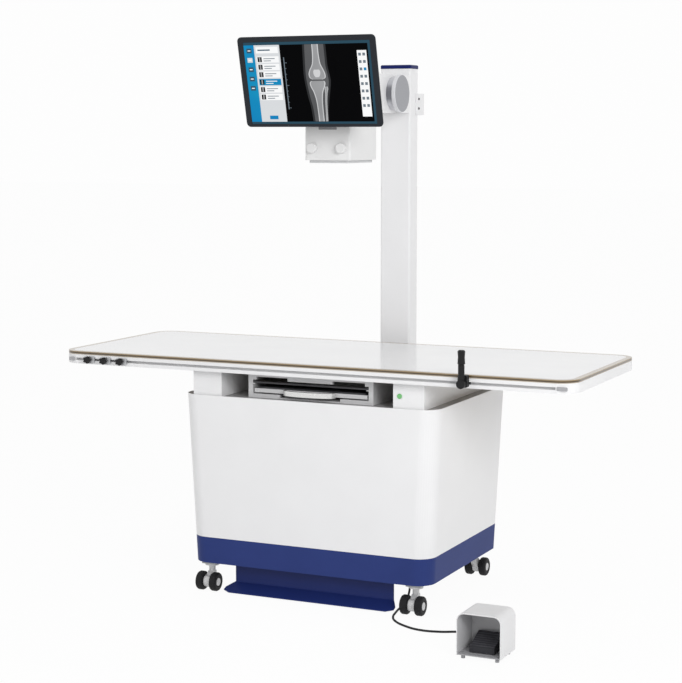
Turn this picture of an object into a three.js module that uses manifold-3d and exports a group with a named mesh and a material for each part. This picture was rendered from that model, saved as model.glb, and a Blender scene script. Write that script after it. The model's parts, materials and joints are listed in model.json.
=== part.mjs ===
// Floating-top radiography table on casters, with rear column, tube head, monitor and footswitch.
// Millimetres, +Z up. X runs along the table top, -Y is the operator's side, the floor is z = 0.
import * as THREE from 'three';
import { mergeVertices } from 'three/addons/utils/BufferGeometryUtils.js';
import Module from 'manifold-3d';

const wasm = await Module();
wasm.setup();

// Driving dimensions: clearances
const SEAT = 0.3;          // gap between two pieces that touch
const RUN = 0.5;           // gap between two pieces that slide or turn on each other
const LAP = 1;             // how far a cutting or joined shape reaches past the face it meets

// Driving dimensions: table top
const TOP_LENGTH = 1800;
const TOP_WIDTH = 674;
const TOP_CORNER = 65;
const BOARD_THICK = 10;
const RING_HEIGHT = 31;    // profile under the board
const RING_WALL = 26;
const RAIL_END_MARGIN = 58;
const SLOT_MOUTH = 8.4;
const SLOT_LIP = 6;
const SLOT_UNDERCUT = 18;
const SLOT_DEPTH = 14;

// Driving dimensions: cabinet and plinth
const CABINET_TOP = 658;
const CABINET_TOP_HALF_X = 450;
const CABINET_SETBACK = 25;    // cabinet's front and rear behind the top's edges
const PLINTH_HEIGHT = 86.5;
const PLINTH_BOTTOM = 96.5;
const PLINTH_BOTTOM_HALF_X = 424;
const PLINTH_TAPER_Y = 10.6;
const FRONT_CORNER = 60;
const REAR_CORNER = 13;
const SHELL_WALL = 3;
const SHELL_CURVE = 6;
const DECK_THICK = 6;
const DECK_RECESS = 3;
const PAN_RISE = 21.5;      // chassis pan above the plinth's lower edge
const PAN_THICK = 4;
const POST_SIZE = 40;
const POST_INSET = 70;
const GENERATOR = { x: 320, y: 260, z: 300, corner: 20 };

// Driving dimensions: bridge blocks and bucky
const BLOCK_INNER_X = 304;
const BLOCK_WIDTH = 104;
const BLOCK_FRONT_INSET = 5;
const BLOCK_OVER_BUCKY = 2.5;
const BLOCK_WALL = 6;
const GUIDE_WIDTH = 30;
const GUIDE_DEPTH = 20;
const GUIDE_END = 8;
const TRAY_SIDE_GAP = 5.5;     // detector to the tray's side walls
const TRAY_END_GAP = 2;
const TRAY_RUN = 6;            // tray to the bay's side walls
const BUCKY_WALL = 16;
const BUCKY_FLOOR = 4;
const BAR_OVER_GRID = 6;
const BUCKY_BAR_THICK = 12;
const BUCKY_SLOT_INNER = 80;
const BUCKY_SLOT_MARGIN = 13;
const BUCKY_SLOT_HEIGHT = 10;
const BUCKY_BAR_HEIGHT = 19;
const BUCKY_LEDGE_HEIGHT = 13;
const BUCKY_LEDGE_INNER = 107;
const GRID_THICK = 5;
const GRID_END_GAP = 1;
const GRID_LEDGE = 8;
const GRID_CORNER = 3;
const RUNNER_RISE = 13.2;
const BAY_GAP = 12.2;
const TRAY_LIP = 13;
const TRAY_SHEET = 2.5;
const RUNNER_DEPTH = 14;
const RUNNER_THICK = 3;
const DETECTOR = { x: 384, y: 460, z: 15, corner: 8 };
const HANDLE_SPAN = 176;
const HANDLE_BULGE = 30;
const HANDLE_HEIGHT = 16;
const HANDLE_THICK = 9;
const HANDLE_DROP = 1;
const HANDLE_STEPS = 24;
const HANDLE_BOW = [[1, 0], [0.93, 0.5], [0.66, 0.83], [0, 1]];   // shares of the half span and of the bulge

// Driving dimensions: float mechanism
const CARRIAGE_LIFT = 5.5;  // carriage plate above the bridge blocks
const CARRIAGE_THICK = 6;
const CARRIAGE_MARGIN = 11;
const CARRIAGE_BAR = 22;
const SHOE_Y = 130;
const SHOE_LENGTH = 70;
const GLIDE_INSET = 67;
const GLIDE_FLOOR = 10.2;
const GLIDE_WIDTH = 20;
const GLIDE_HEIGHT = 13;
const GLIDE_MARGIN = 70;
const GLIDE_SHOE_LENGTH = 80;
const GLIDE_SHOE_WALL = 6;
const BRAKE = { length: 90, width: 22, height: 36, flange: 20, sheet: 4, headroom: 4, endGap: 8 };

// Driving dimensions: rail clamps and lever
const CLAMP_COUNT = 3;
const CLAMP_FROM_END = 52;    // first knob from the rail's left end
const CLAMP_PITCH = 62.5;
const CLAMP_LEFT = 16;
const CLAMP_RIGHT = 24;
const CLAMP_HEIGHT = 22;
const CLAMP_THICK = 7;
const CLAMP_CORNER = 4;
const CLAMP_FOOT = { length: 30, thick: 6 };
const KNOB_RADIUS = 12.5;
const KNOB_LOBE = 0.15;       // half the lobe's depth, as a share of the radius
const KNOB_LOBES = 5;
const KNOB_THICK = 9;
const KNOB_NECK = 3;
const KNOB_NECK_RADIUS = 7;
const LEVER_FROM_END = 288;   // lever from the rail's right end
const LEVER_BLOCK = { x: 30, z: 38, y: 20, corner: 5 };
const LEVER_HUB_RADIUS = 14;
const LEVER_HUB_THICK = 16;
const LEVER_REACH = 104;
const LEVER_GRIP_LENGTH = 42;
const LEVER_GRIP_RADIUS = 12;
const LEVER_NECK_RADIUS = 8;

// Driving dimensions: column, arm and tube head
const COLUMN_CLEARANCE = 76;   // column behind the top's rear edge
const COLUMN_WIDTH = 113;
const COLUMN_DEPTH = 72;
const COLUMN_CORNER = 8;
const COLUMN_WALL = 4;
const COLUMN_FOOT = 130;
const COLUMN_OVER_PIVOT = 89;
const COLUMN_CAP = 13;
const CAP_OVERHANG = 1.5;
const CAP_EDGE = 3;
const CONSOLE_BOTTOM = 330;
const CONSOLE_HEIGHT = 230;
const CONSOLE_WIDTH = 110;
const PIVOT_REACH = 148;     // pivot in front of the column
const PIVOT_Z = 1641;
const ARM_HALF_WIDTH = 53;
const ARM_RADIUS = 65;
const ARM_CHEEK = 16;
const ARM_CLEAR = 3;          // free space round an arm's turning end
const TRUNNION_RADIUS = 22;
const HUB_RADIUS = 64;
const HUB_BOSS_RADIUS = 56;
const HUB_BOSS_THICK = 22;
const HUB_THICK = 36;
const HUB_EDGE = 2;
const YOKE_SETBACK = 48;
const YOKE_DEPTH = 67;
const YOKE_DROP = 70;
const YOKE_HEIGHT = 74;
const YOKE_SHEET = 4;
const BEAM_Y = -34;           // middle of the X-ray beam and of the bay
const HEAD_HALF_X = 100;
const HEAD_HALF_Y = 96;
const HEAD_DROP = 95;
const HEAD_HEIGHT = 166;
const HEAD_CORNER = 34;
const COLLIMATOR_HALF_X = 80.5;
const COLLIMATOR_HALF_Y = 106;
const COLLIMATOR_HEIGHT = 124.7;
const COLLIMATOR_CORNER = 7;
const COLLIMATOR_WALL = 6;
const LIP_INSET = 10;
const LIP_HEIGHT = 9;
const WINDOW_HALF_X = 48;
const WINDOW_HALF_Y = 60;
const WINDOW_CORNER = 4;
const DIAL_X = 52;
const DIAL_RISE = 39.5;
const DIAL_RADIUS = 16.5;
const DIAL_LENGTH = 16.7;
const MONITOR_WIDTH = 479;
const MONITOR_HEIGHT = 290;
const MONITOR_THICK = 26;
const MONITOR_CORNER = 14;
const MONITOR_REACH = 140.5;  // centre of the monitor's front face before the tube housing
const MONITOR_RISE = 27.5;
const MONITOR_TILT = THREE.MathUtils.degToRad(13.7);
const SCREEN_SIDE_BORDER = 20;
const SCREEN_TOP_BORDER = 17;
const SCREEN_BOTTOM_BORDER = 20;
const SCREEN_DEPTH = 2.2;
const MONITOR_HINGE_RADIUS = 11;
const MONITOR_HINGE_LENGTH = 80;
const MONITOR_EAR = 14;
const MONITOR_PIN_LAP = 2;
const BRACKET_WIDTH = 50;
const BRACKET_HEIGHT = 70;
const BRACKET_PLATE = 6;

// Driving dimensions: power button, treadle
const BUTTON_INSET = 22;
const BUTTON_RISE = 40.7;
const BUTTON_RADIUS = 8;
const BUTTON_PROUD = 4;
const BUTTON_LENGTH = 12;
const TREADLE_SETBACK = 53.4;
const TREADLE_SHEET = 3;
const TREADLE_WEB_HALF = 285;
const TREADLE_HALF = 305;
const TREADLE_FOLD = 30;
const TREADLE_DEPTH = 61;
const TREADLE_FRONT_Z = 8.5;
const TREADLE_TIP = { x: 24, front: 12, rear: 36 };   // cut-off corners of the tread
const TREADLE_OVER_PIN = 6;
const PIN_BEHIND_WEB = 20;
const PIN_DROP = 12;
const PIN_RADIUS = 4;
const EAR_X = 236;
const EAR_THICK = 6;
const PIN_END = 3;
const LUG_RADIUS = 9;

// Driving dimensions: casters
const CASTER_INSET_X = 57;
const CASTER_INSET_Y = 39.4;
const CASTER_BOSS = 50;
const CASTER_BOSS_DROP = 8;
const CASTER_TRAIL = 24;
const WHEEL_RADIUS = 31;
const WHEEL_WIDTH = 25;
const WHEEL_SPACING = 50;
const WHEEL_SHOULDER = 6;
const WHEEL_ROUNDING = 2.1;
const WHEEL_HUB_RADIUS = 14;
const WHEEL_DISH = 2.5;
const WHEEL_SIDES = 20;
const WHEEL_SLEEVE = 7;
const FORK_HOUSING_RADIUS = 20;
const FORK_SIDE_GAP = 1.5;
const FORK_NECK_LAP = 6;
const FORK_LEG_DROP = 8;
const SWIVEL_RADIUS = 24;
const SWIVEL_THICK = 6;
const SWIVEL_NECK = 11;
const SWIVEL_PIN = 7;
const SWIVEL_PIN_LENGTH = 14;

// Driving dimensions: footswitch and cord
const HOOD_X = 730.5;
const HOOD_FRONT = -670;
const HOOD_WIDTH = 137;
const HOOD_DEPTH = 124;
const HOOD_BOTTOM = 12;
const HOOD_HEIGHT = 125;
const HOOD_CORNER = 24;
const HOOD_WALL = 3;
const FOOT_RADIUS = 6;
const FOOT_INSET = 16;
const BASE_FRONT_INSET = 1;
const PEDAL = { x: 76, y: 78, z: 20, edge: 3 };
const PEDAL_FRONT_INSET = 28;
const PEDAL_RISE = 27;        // tread, from its front to its rear
const PEDAL_UNDER_RISE = 9;   // free travel under the pedal's rear
const GLAND_LENGTH = 30;
const GLAND_RADIUS = 9;
const GLAND_NOSE = 5.5;
const GLAND_COLLAR = 9;
const GLAND_WAIST = { radius: 6.8, z: 10 };
const CORD_DIAMETER = 7;
const CORD_SIDES = 8;
const CORD_STEPS = 52;
const FLOOR_GLAND_X = 300;
const FLOOR_GLAND_Y = -150;
const HOOD_GLAND_Z = 24;

// Derived places along the depth
const frontFace = -TOP_WIDTH / 2;
const cabinetTopHalfY = TOP_WIDTH / 2 - CABINET_SETBACK;
const plinthBottomHalfY = cabinetTopHalfY - PLINTH_TAPER_Y;
const columnFront = TOP_WIDTH / 2 + COLUMN_CLEARANCE;
const pivotY = columnFront - PIVOT_REACH;
const headBack = BEAM_Y + HEAD_HALF_Y;
const headFront = BEAM_Y - HEAD_HALF_Y;
const collimatorFront = BEAM_Y - COLLIMATOR_HALF_Y;
const monitorY = headFront - MONITOR_REACH;
const trayLength = DETECTOR.y + 2 * (TRAY_END_GAP + TRAY_SHEET);
const buckyDepth = trayLength + 2 * RUN + BUCKY_FLOOR;
const buckyFront = BEAM_Y - buckyDepth / 2;
const buckyBack = buckyFront + buckyDepth;
const trayFront = buckyFront + RUN;
const trayBack = trayFront + trayLength;
const yokeFront = columnFront + YOKE_SETBACK;
const yokeBack = yokeFront + YOKE_DEPTH;
const carriageHalfY = TOP_WIDTH / 2 - RING_WALL - CARRIAGE_MARGIN;
const glideY = TOP_WIDTH / 2 - GLIDE_INSET;
const treadleWebY = -plinthBottomHalfY + TREADLE_SETBACK;
const treadleFrontY = treadleWebY - TREADLE_DEPTH;
const pinY = treadleWebY + PIN_BEHIND_WEB;
const casterX = PLINTH_BOTTOM_HALF_X - CASTER_INSET_X;
const casterY = plinthBottomHalfY - CASTER_INSET_Y;
const hoodBack = HOOD_FRONT + HOOD_DEPTH;

// Derived widths
const trayHalfX = DETECTOR.x / 2 + TRAY_SIDE_GAP + TRAY_SHEET;
const buckyInner = trayHalfX + TRAY_RUN;
const buckyHalfWidth = buckyInner + BUCKY_WALL;
const blockMidX = BLOCK_INNER_X + BLOCK_WIDTH / 2;
const armCoreHalf = ARM_HALF_WIDTH - ARM_CHEEK - RUN;
const railHalf = TOP_LENGTH / 2 - RAIL_END_MARGIN;
const leverX = railHalf - LEVER_FROM_END;
const glideLength = TOP_LENGTH - 2 * GLIDE_MARGIN;

// Derived levels, from the plinth up to the patient surface
const plinthTop = PLINTH_BOTTOM + PLINTH_HEIGHT;
const panBottom = PLINTH_BOTTOM + PAN_RISE;
const panTop = panBottom + PAN_THICK;
const casterBossBottom = PLINTH_BOTTOM - CASTER_BOSS_DROP;
const casterTop = casterBossBottom - SEAT;
const pinZ = panBottom - PIN_DROP;
const deckTop = CABINET_TOP - DECK_RECESS;
const deckBottom = deckTop - DECK_THICK;
const blockBottom = deckTop + SEAT;
const buckyBottom = deckTop + SEAT;
const trayLow = buckyBottom + BUCKY_FLOOR + RUNNER_RISE + RUN;
const trayFloor = trayLow + TRAY_SHEET;
const detectorLow = trayFloor + SEAT;
const gridLow = detectorLow + DETECTOR.z + BAY_GAP;
const barLow = gridLow + GRID_THICK + BAR_OVER_GRID;
const buckyTop = barLow + BUCKY_BAR_HEIGHT;
const blockTop = buckyTop + BLOCK_OVER_BUCKY;
const carriageBottom = blockTop + CARRIAGE_LIFT;
const carriageTop = carriageBottom + CARRIAGE_THICK;
const glideBottom = carriageTop + GLIDE_FLOOR + RUN;
const glideTop = glideBottom + GLIDE_HEIGHT;
const boardBottom = glideTop + SEAT;
const topSurface = boardBottom + BOARD_THICK;
const ringTop = boardBottom - SEAT;
const ringBottom = ringTop - RING_HEIGHT;
const slotZ = (ringTop + ringBottom) / 2;

// Derived levels of the column and the tube head, from the pivot
const columnTop = PIVOT_Z + COLUMN_OVER_PIVOT;
const yokeBottom = PIVOT_Z - YOKE_DROP;
const headBottom = PIVOT_Z - HEAD_DROP;
const collimatorTop = headBottom - SEAT;
const collimatorBottom = collimatorTop - COLLIMATOR_HEIGHT;
const dialZ = collimatorBottom + DIAL_RISE;
const monitorZ = PIVOT_Z + MONITOR_RISE;
const cordRadius = CORD_DIAMETER / 2;

// The origin lies under the middle of the whole object's depth, from the hood's front to the yoke's back.
const tableCentreY = -(HOOD_FRONT + yokeBack) / 2;

// Geometry helpers

/** Merged, watertight copy of a geometry, with its faces pointing out. */
function solidOf(geometry) {
  const bare = geometry.clone();
  bare.deleteAttribute('normal');
  bare.deleteAttribute('uv');
  const merged = mergeVertices(bare, 1e-4);
  const position = merged.attributes.position;
  const index = merged.index.array;
  const corners = [];
  const a = new THREE.Vector3();
  const b = new THREE.Vector3();
  const c = new THREE.Vector3();
  let volume = 0;
  for (let i = 0; i < index.length; i += 3) {
    const [p, q, r] = [index[i], index[i + 1], index[i + 2]];
    if (p === q || q === r || r === p) continue;
    a.fromBufferAttribute(position, p);
    b.fromBufferAttribute(position, q);
    c.fromBufferAttribute(position, r);
    volume += a.dot(b.cross(c));
    corners.push([p, q, r]);
  }
  const facingOut = corners.map(([p, q, r]) => (volume > 0 ? [p, q, r] : [p, r, q])).flat();
  return new wasm.Manifold(new wasm.Mesh({
    numProp: 3,
    vertProperties: new Float32Array(position.array),
    triVerts: new Uint32Array(facingOut),
  }));
}

function geometryOf(solid) {
  const mesh = solid.getMesh();
  const geometry = new THREE.BufferGeometry();
  geometry.setAttribute('position', new THREE.BufferAttribute(mesh.vertProperties, 3));
  geometry.setIndex(new THREE.BufferAttribute(mesh.triVerts, 1));
  geometry.computeVertexNormals();
  return geometry;
}

const closed = (geometry) => geometryOf(solidOf(geometry));
const join = (first, ...rest) => (
  geometryOf(rest.reduce((sum, next) => sum.add(solidOf(next)), solidOf(first))));
const cut = (first, ...tools) => (
  geometryOf(tools.reduce((left, tool) => left.subtract(solidOf(tool)), solidOf(first))));

/** Box from three [low, high] ranges. */
function block(x, y, z) {
  const box = new THREE.BoxGeometry(x[1] - x[0], y[1] - y[0], z[1] - z[0]);
  return box.translate((x[0] + x[1]) / 2, (y[0] + y[1]) / 2, (z[0] + z[1]) / 2);
}

/** Rectangle with its own radius at the front (-y) and rear (+y) corners. */
function roundedOutline(halfX, halfY, frontRadius, rearRadius = frontRadius) {
  const shape = new THREE.Shape();
  const front = -halfY + frontRadius;
  const rear = halfY - rearRadius;
  shape.absarc(halfX - frontRadius, front, frontRadius, -Math.PI / 2, 0);
  shape.absarc(halfX - rearRadius, rear, rearRadius, 0, Math.PI / 2);
  shape.absarc(-halfX + rearRadius, rear, rearRadius, Math.PI / 2, Math.PI);
  shape.absarc(-halfX + frontRadius, front, frontRadius, Math.PI, 1.5 * Math.PI);
  shape.closePath();
  return shape;
}

function polygon(points) {
  return new THREE.Shape(points.map(([x, y]) => new THREE.Vector2(x, y)));
}

function extruded(shape, depth, curveSegments) {
  return new THREE.ExtrudeGeometry(shape, { depth, bevelEnabled: false, curveSegments });
}

/** Upright prism of an (x, y) outline. */
function prism(shape, zLow, zHigh, curveSegments = 4) {
  const solid = extruded(shape, zHigh - zLow, curveSegments);
  return solid.translate(0, 0, zLow);
}

const X_AXIS = new THREE.Vector3(1, 0, 0);
const Y_AXIS = new THREE.Vector3(0, 1, 0);
const Z_AXIS = new THREE.Vector3(0, 0, 1);
const MINUS_Y = new THREE.Vector3(0, -1, 0);

/** Prism along X of a (y, z) outline. */
function prismX(shape, xLow, xHigh, curveSegments = 4) {
  const solid = extruded(shape, xHigh - xLow, curveSegments);
  solid.applyMatrix4(new THREE.Matrix4().makeBasis(Y_AXIS, Z_AXIS, X_AXIS));
  return solid.translate(xLow, 0, 0);
}

/** Prism along Y of an (x, z) outline. */
function prismY(shape, yLow, yHigh, curveSegments = 4) {
  const solid = extruded(shape, yHigh - yLow, curveSegments);
  solid.applyMatrix4(new THREE.Matrix4().makeBasis(X_AXIS, Z_AXIS, MINUS_Y));
  return solid.translate(0, yHigh, 0);
}

/** Solid of revolution about Z, X or Y from [radius, height] points; half a step turns a flat downwards. */
function turned(profile, axis = 'z', sides = 16) {
  const points = profile.map(([radius, height]) => new THREE.Vector2(radius, height));
  const solid = new THREE.LatheGeometry(points, sides, Math.PI / sides);
  if (axis === 'z') solid.rotateX(Math.PI / 2);
  if (axis === 'x') solid.rotateZ(-Math.PI / 2);
  return closed(solid);
}

const rod = (radius, low, high, axis, sides = 16) => (
  turned([[0, low], [radius, low], [radius, high], [0, high]], axis, sides));

/** Solid between two outlines with the same number of points, at two heights. */
function loft(lowShape, zLow, highShape, zHigh, curveSegments = 4) {
  const low = lowShape.extractPoints(curveSegments).shape;
  const high = highShape.extractPoints(curveSegments).shape;
  const count = low.length;
  const positions = [...low.map((p) => [p.x, p.y, zLow]), ...high.map((p) => [p.x, p.y, zHigh])].flat();
  const faces = [];
  for (let i = 0; i < count; i += 1) {
    const next = (i + 1) % count;
    faces.push(i, next, count + next, i, count + next, count + i);
  }
  for (let i = 1; i < count - 1; i += 1) {
    faces.push(0, i + 1, i, count, count + i, count + i + 1);
  }
  const geometry = new THREE.BufferGeometry();
  geometry.setAttribute('position', new THREE.Float32BufferAttribute(positions, 3));
  geometry.setIndex(faces);
  return geometry;
}

const mirrorX = (geometry) => closed(geometry.clone().scale(-1, 1, 1));

// Scene graph
const radiographyTable = new THREE.Group();
const table = new THREE.Group();
table.position.y = tableCentreY;
radiographyTable.add(table);

function add(parent, name, geometry, color, roughness, metalness = 0) {
  const material = new THREE.MeshStandardMaterial({ color, roughness, metalness });
  const mesh = new THREE.Mesh(geometry, material);
  mesh.name = name;
  parent.add(mesh);
}

const WHITE_PAINT = 0xe9e9e8;
const PALE_GREY = 0xc9cacb;
const NAVY = 0x2f3c78;
const DARK_NAVY = 0x1d2660;
const BLACK = 0x1b1b1c;
const GRAPHITE = 0x2b2d30;
const ALUMINIUM = 0xa9abae;
const STEEL = 0x8d9092;
const BUTTON_GREEN = 0x58b868;
const HANDLE_METAL = 0xd8d6d0;
const LAMINATE = 0xf1f1f2;
const SCREEN_GLASS = 0x101216;

// Cabinet, plinth and chassis

/** The cabinet's outer half sizes at a height: both sides taper straight from top to bottom. */
function cabinetHalf(z) {
  const share = (z - PLINTH_BOTTOM) / (CABINET_TOP - PLINTH_BOTTOM);
  return {
    x: THREE.MathUtils.lerp(PLINTH_BOTTOM_HALF_X, CABINET_TOP_HALF_X, share),
    y: THREE.MathUtils.lerp(plinthBottomHalfY, cabinetTopHalfY, share),
  };
}

function cabinetOutline(z, inset) {
  const half = cabinetHalf(z);
  return roundedOutline(half.x - inset, half.y - inset, FRONT_CORNER - inset, REAR_CORNER - inset);
}

const taperedBody = (zLow, zHigh, inset) => (
  loft(cabinetOutline(zLow, inset), zLow, cabinetOutline(zHigh, inset), zHigh, SHELL_CURVE));

const taperedShell = (zLow, zHigh) => (
  cut(taperedBody(zLow, zHigh, 0), taperedBody(zLow - LAP, zHigh + LAP, SHELL_WALL)));

function chassisFrame() {
  const pan = prism(cabinetOutline(panBottom, SHELL_WALL + SEAT), panBottom, panTop);
  const pieces = [];
  const postX = PLINTH_BOTTOM_HALF_X - POST_INSET;
  const postY = plinthBottomHalfY - POST_INSET;
  const frameTop = deckBottom - SEAT;
  const beam = [frameTop - POST_SIZE, frameTop];
  const reach = [-1, 1];
  for (const side of reach) {
    const edgeY = side * postY;
    const edgeX = side * postX;
    pieces.push(block([-postX, postX], [edgeY - POST_SIZE / 2, edgeY + POST_SIZE / 2], beam));
    pieces.push(block([edgeX - POST_SIZE / 2, edgeX + POST_SIZE / 2], [-postY, postY], beam));
    for (const end of reach) {
      const x = end * postX;
      pieces.push(block(
        [x - POST_SIZE / 2, x + POST_SIZE / 2],
        [edgeY - POST_SIZE / 2, edgeY + POST_SIZE / 2],
        [panBottom, frameTop],
      ));
      const bossX = end * casterX;
      const bossY = side * casterY;
      pieces.push(block(
        [bossX - CASTER_BOSS / 2, bossX + CASTER_BOSS / 2],
        [bossY - CASTER_BOSS / 2, bossY + CASTER_BOSS / 2],
        [casterBossBottom, panTop],
      ));
    }
    const lugLow = side * (EAR_X + EAR_THICK + RUN);
    const lugHigh = lugLow + side * EAR_THICK;
    const lug = [Math.min(lugLow, lugHigh), Math.max(lugLow, lugHigh)];
    pieces.push(rod(LUG_RADIUS, lug[0], lug[1], 'x').translate(0, pinY, pinZ));
    pieces.push(block(lug, [pinY - LUG_RADIUS, pinY + LUG_RADIUS], [pinZ, panTop]));
  }
  const body = join(pan, ...pieces);
  const sockets = [];
  for (const x of [-casterX, casterX]) {
    for (const y of [-casterY, casterY]) {
      const socketTop = casterBossBottom + SWIVEL_PIN_LENGTH + RUN;
      sockets.push(rod(SWIVEL_PIN + RUN, casterBossBottom - LAP, socketTop, 'z', 12).translate(x, y, 0));
    }
  }
  const pinHole = rod(PIN_RADIUS + SEAT, -casterX, casterX, 'x').translate(0, pinY, pinZ);
  return cut(body, ...sockets, pinHole);
}

add(table, 'chassis_frame', chassisFrame(), STEEL, 0.5, 0.6);
add(table, 'plinth_skirt', taperedShell(PLINTH_BOTTOM, plinthTop), NAVY, 0.45);
add(table, 'cabinet_shell', taperedShell(plinthTop + SEAT, CABINET_TOP), WHITE_PAINT, 0.35);
const deckShape = cabinetOutline(deckBottom, SHELL_WALL + SEAT);
add(table, 'deck_plate', closed(prism(deckShape, deckBottom, deckTop)), PALE_GREY, 0.5);

const generatorShape = roundedOutline(GENERATOR.x / 2, GENERATOR.y / 2, GENERATOR.corner);
const generatorLow = panTop + SEAT;
const generator = prism(generatorShape, generatorLow, generatorLow + GENERATOR.z);
add(table, 'hv_generator', closed(generator), STEEL, 0.5, 0.5);

// Bridge blocks that carry the floating top, with a guide groove for the lateral float

const blockHalfY = cabinetHalf(deckBottom).y - SHELL_WALL - BLOCK_FRONT_INSET;

function bridgeBlock(holes = []) {
  const width = [BLOCK_INNER_X, BLOCK_INNER_X + BLOCK_WIDTH];
  const outer = block(width, [-blockHalfY, blockHalfY], [blockBottom, blockTop]);
  const guide = block(
    [blockMidX - GUIDE_WIDTH / 2, blockMidX + GUIDE_WIDTH / 2],
    [-blockHalfY + GUIDE_END, blockHalfY - GUIDE_END],
    [blockTop - GUIDE_DEPTH, blockTop + LAP],
  );
  const hollow = block(
    [BLOCK_INNER_X + BLOCK_WALL, BLOCK_INNER_X + BLOCK_WIDTH - BLOCK_WALL],
    [-blockHalfY + GUIDE_END + BUTTON_LENGTH, blockHalfY - GUIDE_END],
    [blockBottom - LAP, blockTop - GUIDE_DEPTH - BLOCK_WALL],
  );
  return cut(outer, guide, hollow, ...holes);
}

const buttonFace = -blockHalfY;
const buttonX = BLOCK_INNER_X + BUTTON_INSET;
const buttonZ = blockBottom + BUTTON_RISE;
const buttonHole = rod(BUTTON_RADIUS + SEAT, buttonFace - LAP, buttonFace + BUTTON_LENGTH, 'y');
buttonHole.translate(buttonX, 0, buttonZ);
add(table, 'right_bridge_block', bridgeBlock([buttonHole]), WHITE_PAINT, 0.35);
add(table, 'left_bridge_block', mirrorX(bridgeBlock()), WHITE_PAINT, 0.35);

function powerButton() {
  const front = buttonFace - BUTTON_PROUD;
  const back = buttonFace + BUTTON_LENGTH / 2;
  const edge = 1.5;
  return turned([
    [0, front], [BUTTON_RADIUS - edge, front], [BUTTON_RADIUS, front + edge],
    [BUTTON_RADIUS, back], [0, back],
  ], 'y').translate(buttonX, 0, buttonZ);
}
add(table, 'power_button', powerButton(), BUTTON_GREEN, 0.4);

// Bucky: housing, anti-scatter grid and the pull-out detector tray

function buckyHousing() {
  const buckySlotOuter = buckyInner - BUCKY_SLOT_MARGIN;
  const depth = [buckyFront, buckyBack];
  const barDepth = [buckyFront, buckyFront + BUCKY_BAR_THICK];
  const backWall = [buckyBack - BUCKY_FLOOR, buckyBack];
  const width = [-buckyHalfWidth, buckyHalfWidth];
  const pieces = [
    block(width, depth, [buckyBottom, buckyBottom + BUCKY_FLOOR]),
    block(width, barDepth, [barLow, buckyTop]),
    block(width, backWall, [buckyBottom, buckyTop]),
  ];
  for (const side of [-1, 1]) {
    const range = (inner, outer) => (side > 0 ? [inner, outer] : [-outer, -inner]);
    pieces.push(block(range(buckyInner, buckyHalfWidth), depth, [buckyBottom, buckyTop]));
    pieces.push(block(
      range(buckyInner - GRID_LEDGE, buckyHalfWidth - LAP),
      depth,
      [gridLow - RUNNER_THICK - SEAT, gridLow - SEAT],
    ));
    pieces.push(block(
      range(buckyInner - RUNNER_DEPTH, buckyHalfWidth - LAP),
      [buckyFront + BUCKY_BAR_THICK, buckyBack],
      [trayLow - RUN - RUNNER_THICK, trayLow - RUN],
    ));
    pieces.push(block(
      range(BUCKY_LEDGE_INNER, buckyHalfWidth),
      barDepth,
      [buckyBottom, buckyBottom + BUCKY_LEDGE_HEIGHT],
    ));
  }
  const slots = [-1, 1].map((side) => block(
    side > 0 ? [BUCKY_SLOT_INNER, buckySlotOuter] : [-buckySlotOuter, -BUCKY_SLOT_INNER],
    [buckyFront - LAP, buckyFront + BUCKY_BAR_THICK + LAP],
    [barLow - LAP, barLow + BUCKY_SLOT_HEIGHT],
  ));
  return cut(join(...pieces), ...slots);
}
add(table, 'bucky_housing', buckyHousing(), PALE_GREY, 0.45, 0.3);

const gridDepth = buckyDepth - BUCKY_FLOOR - 2 * GRID_END_GAP;
const gridMiddleY = buckyFront + GRID_END_GAP + gridDepth / 2;
const gridHalfX = buckyInner - SEAT;
const gridShape = roundedOutline(gridHalfX, gridDepth / 2, GRID_CORNER);
const grid = prism(gridShape, gridLow, gridLow + GRID_THICK).translate(0, gridMiddleY, 0);
add(table, 'antiscatter_grid', closed(grid), GRAPHITE, 0.4, 0.4);

function detectorTray() {
  const pieces = [block([-trayHalfX, trayHalfX], [trayFront, trayBack], [trayLow, trayFloor])];
  const lipTop = trayLow + TRAY_LIP;
  for (const side of [-1, 1]) {
    const range = (inner, outer) => (side > 0 ? [inner, outer] : [-outer, -inner]);
    pieces.push(block(range(trayHalfX - TRAY_SHEET, trayHalfX), [trayFront, trayBack], [trayLow, lipTop]));
  }
  for (const y of [[trayFront, trayFront + TRAY_SHEET], [trayBack - TRAY_SHEET, trayBack]]) {
    pieces.push(block([-trayHalfX, trayHalfX], y, [trayLow, lipTop]));
  }
  return join(...pieces);
}
add(table, 'detector_tray', detectorTray(), PALE_GREY, 0.35, 0.6);

const detectorShape = roundedOutline(DETECTOR.x / 2, DETECTOR.y / 2, DETECTOR.corner);
const detectorY = (trayFront + trayBack) / 2;
const detector = prism(detectorShape, detectorLow, detectorLow + DETECTOR.z).translate(0, detectorY, 0);
add(table, 'detector_panel', closed(detector), GRAPHITE, 0.4, 0.1);

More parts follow.
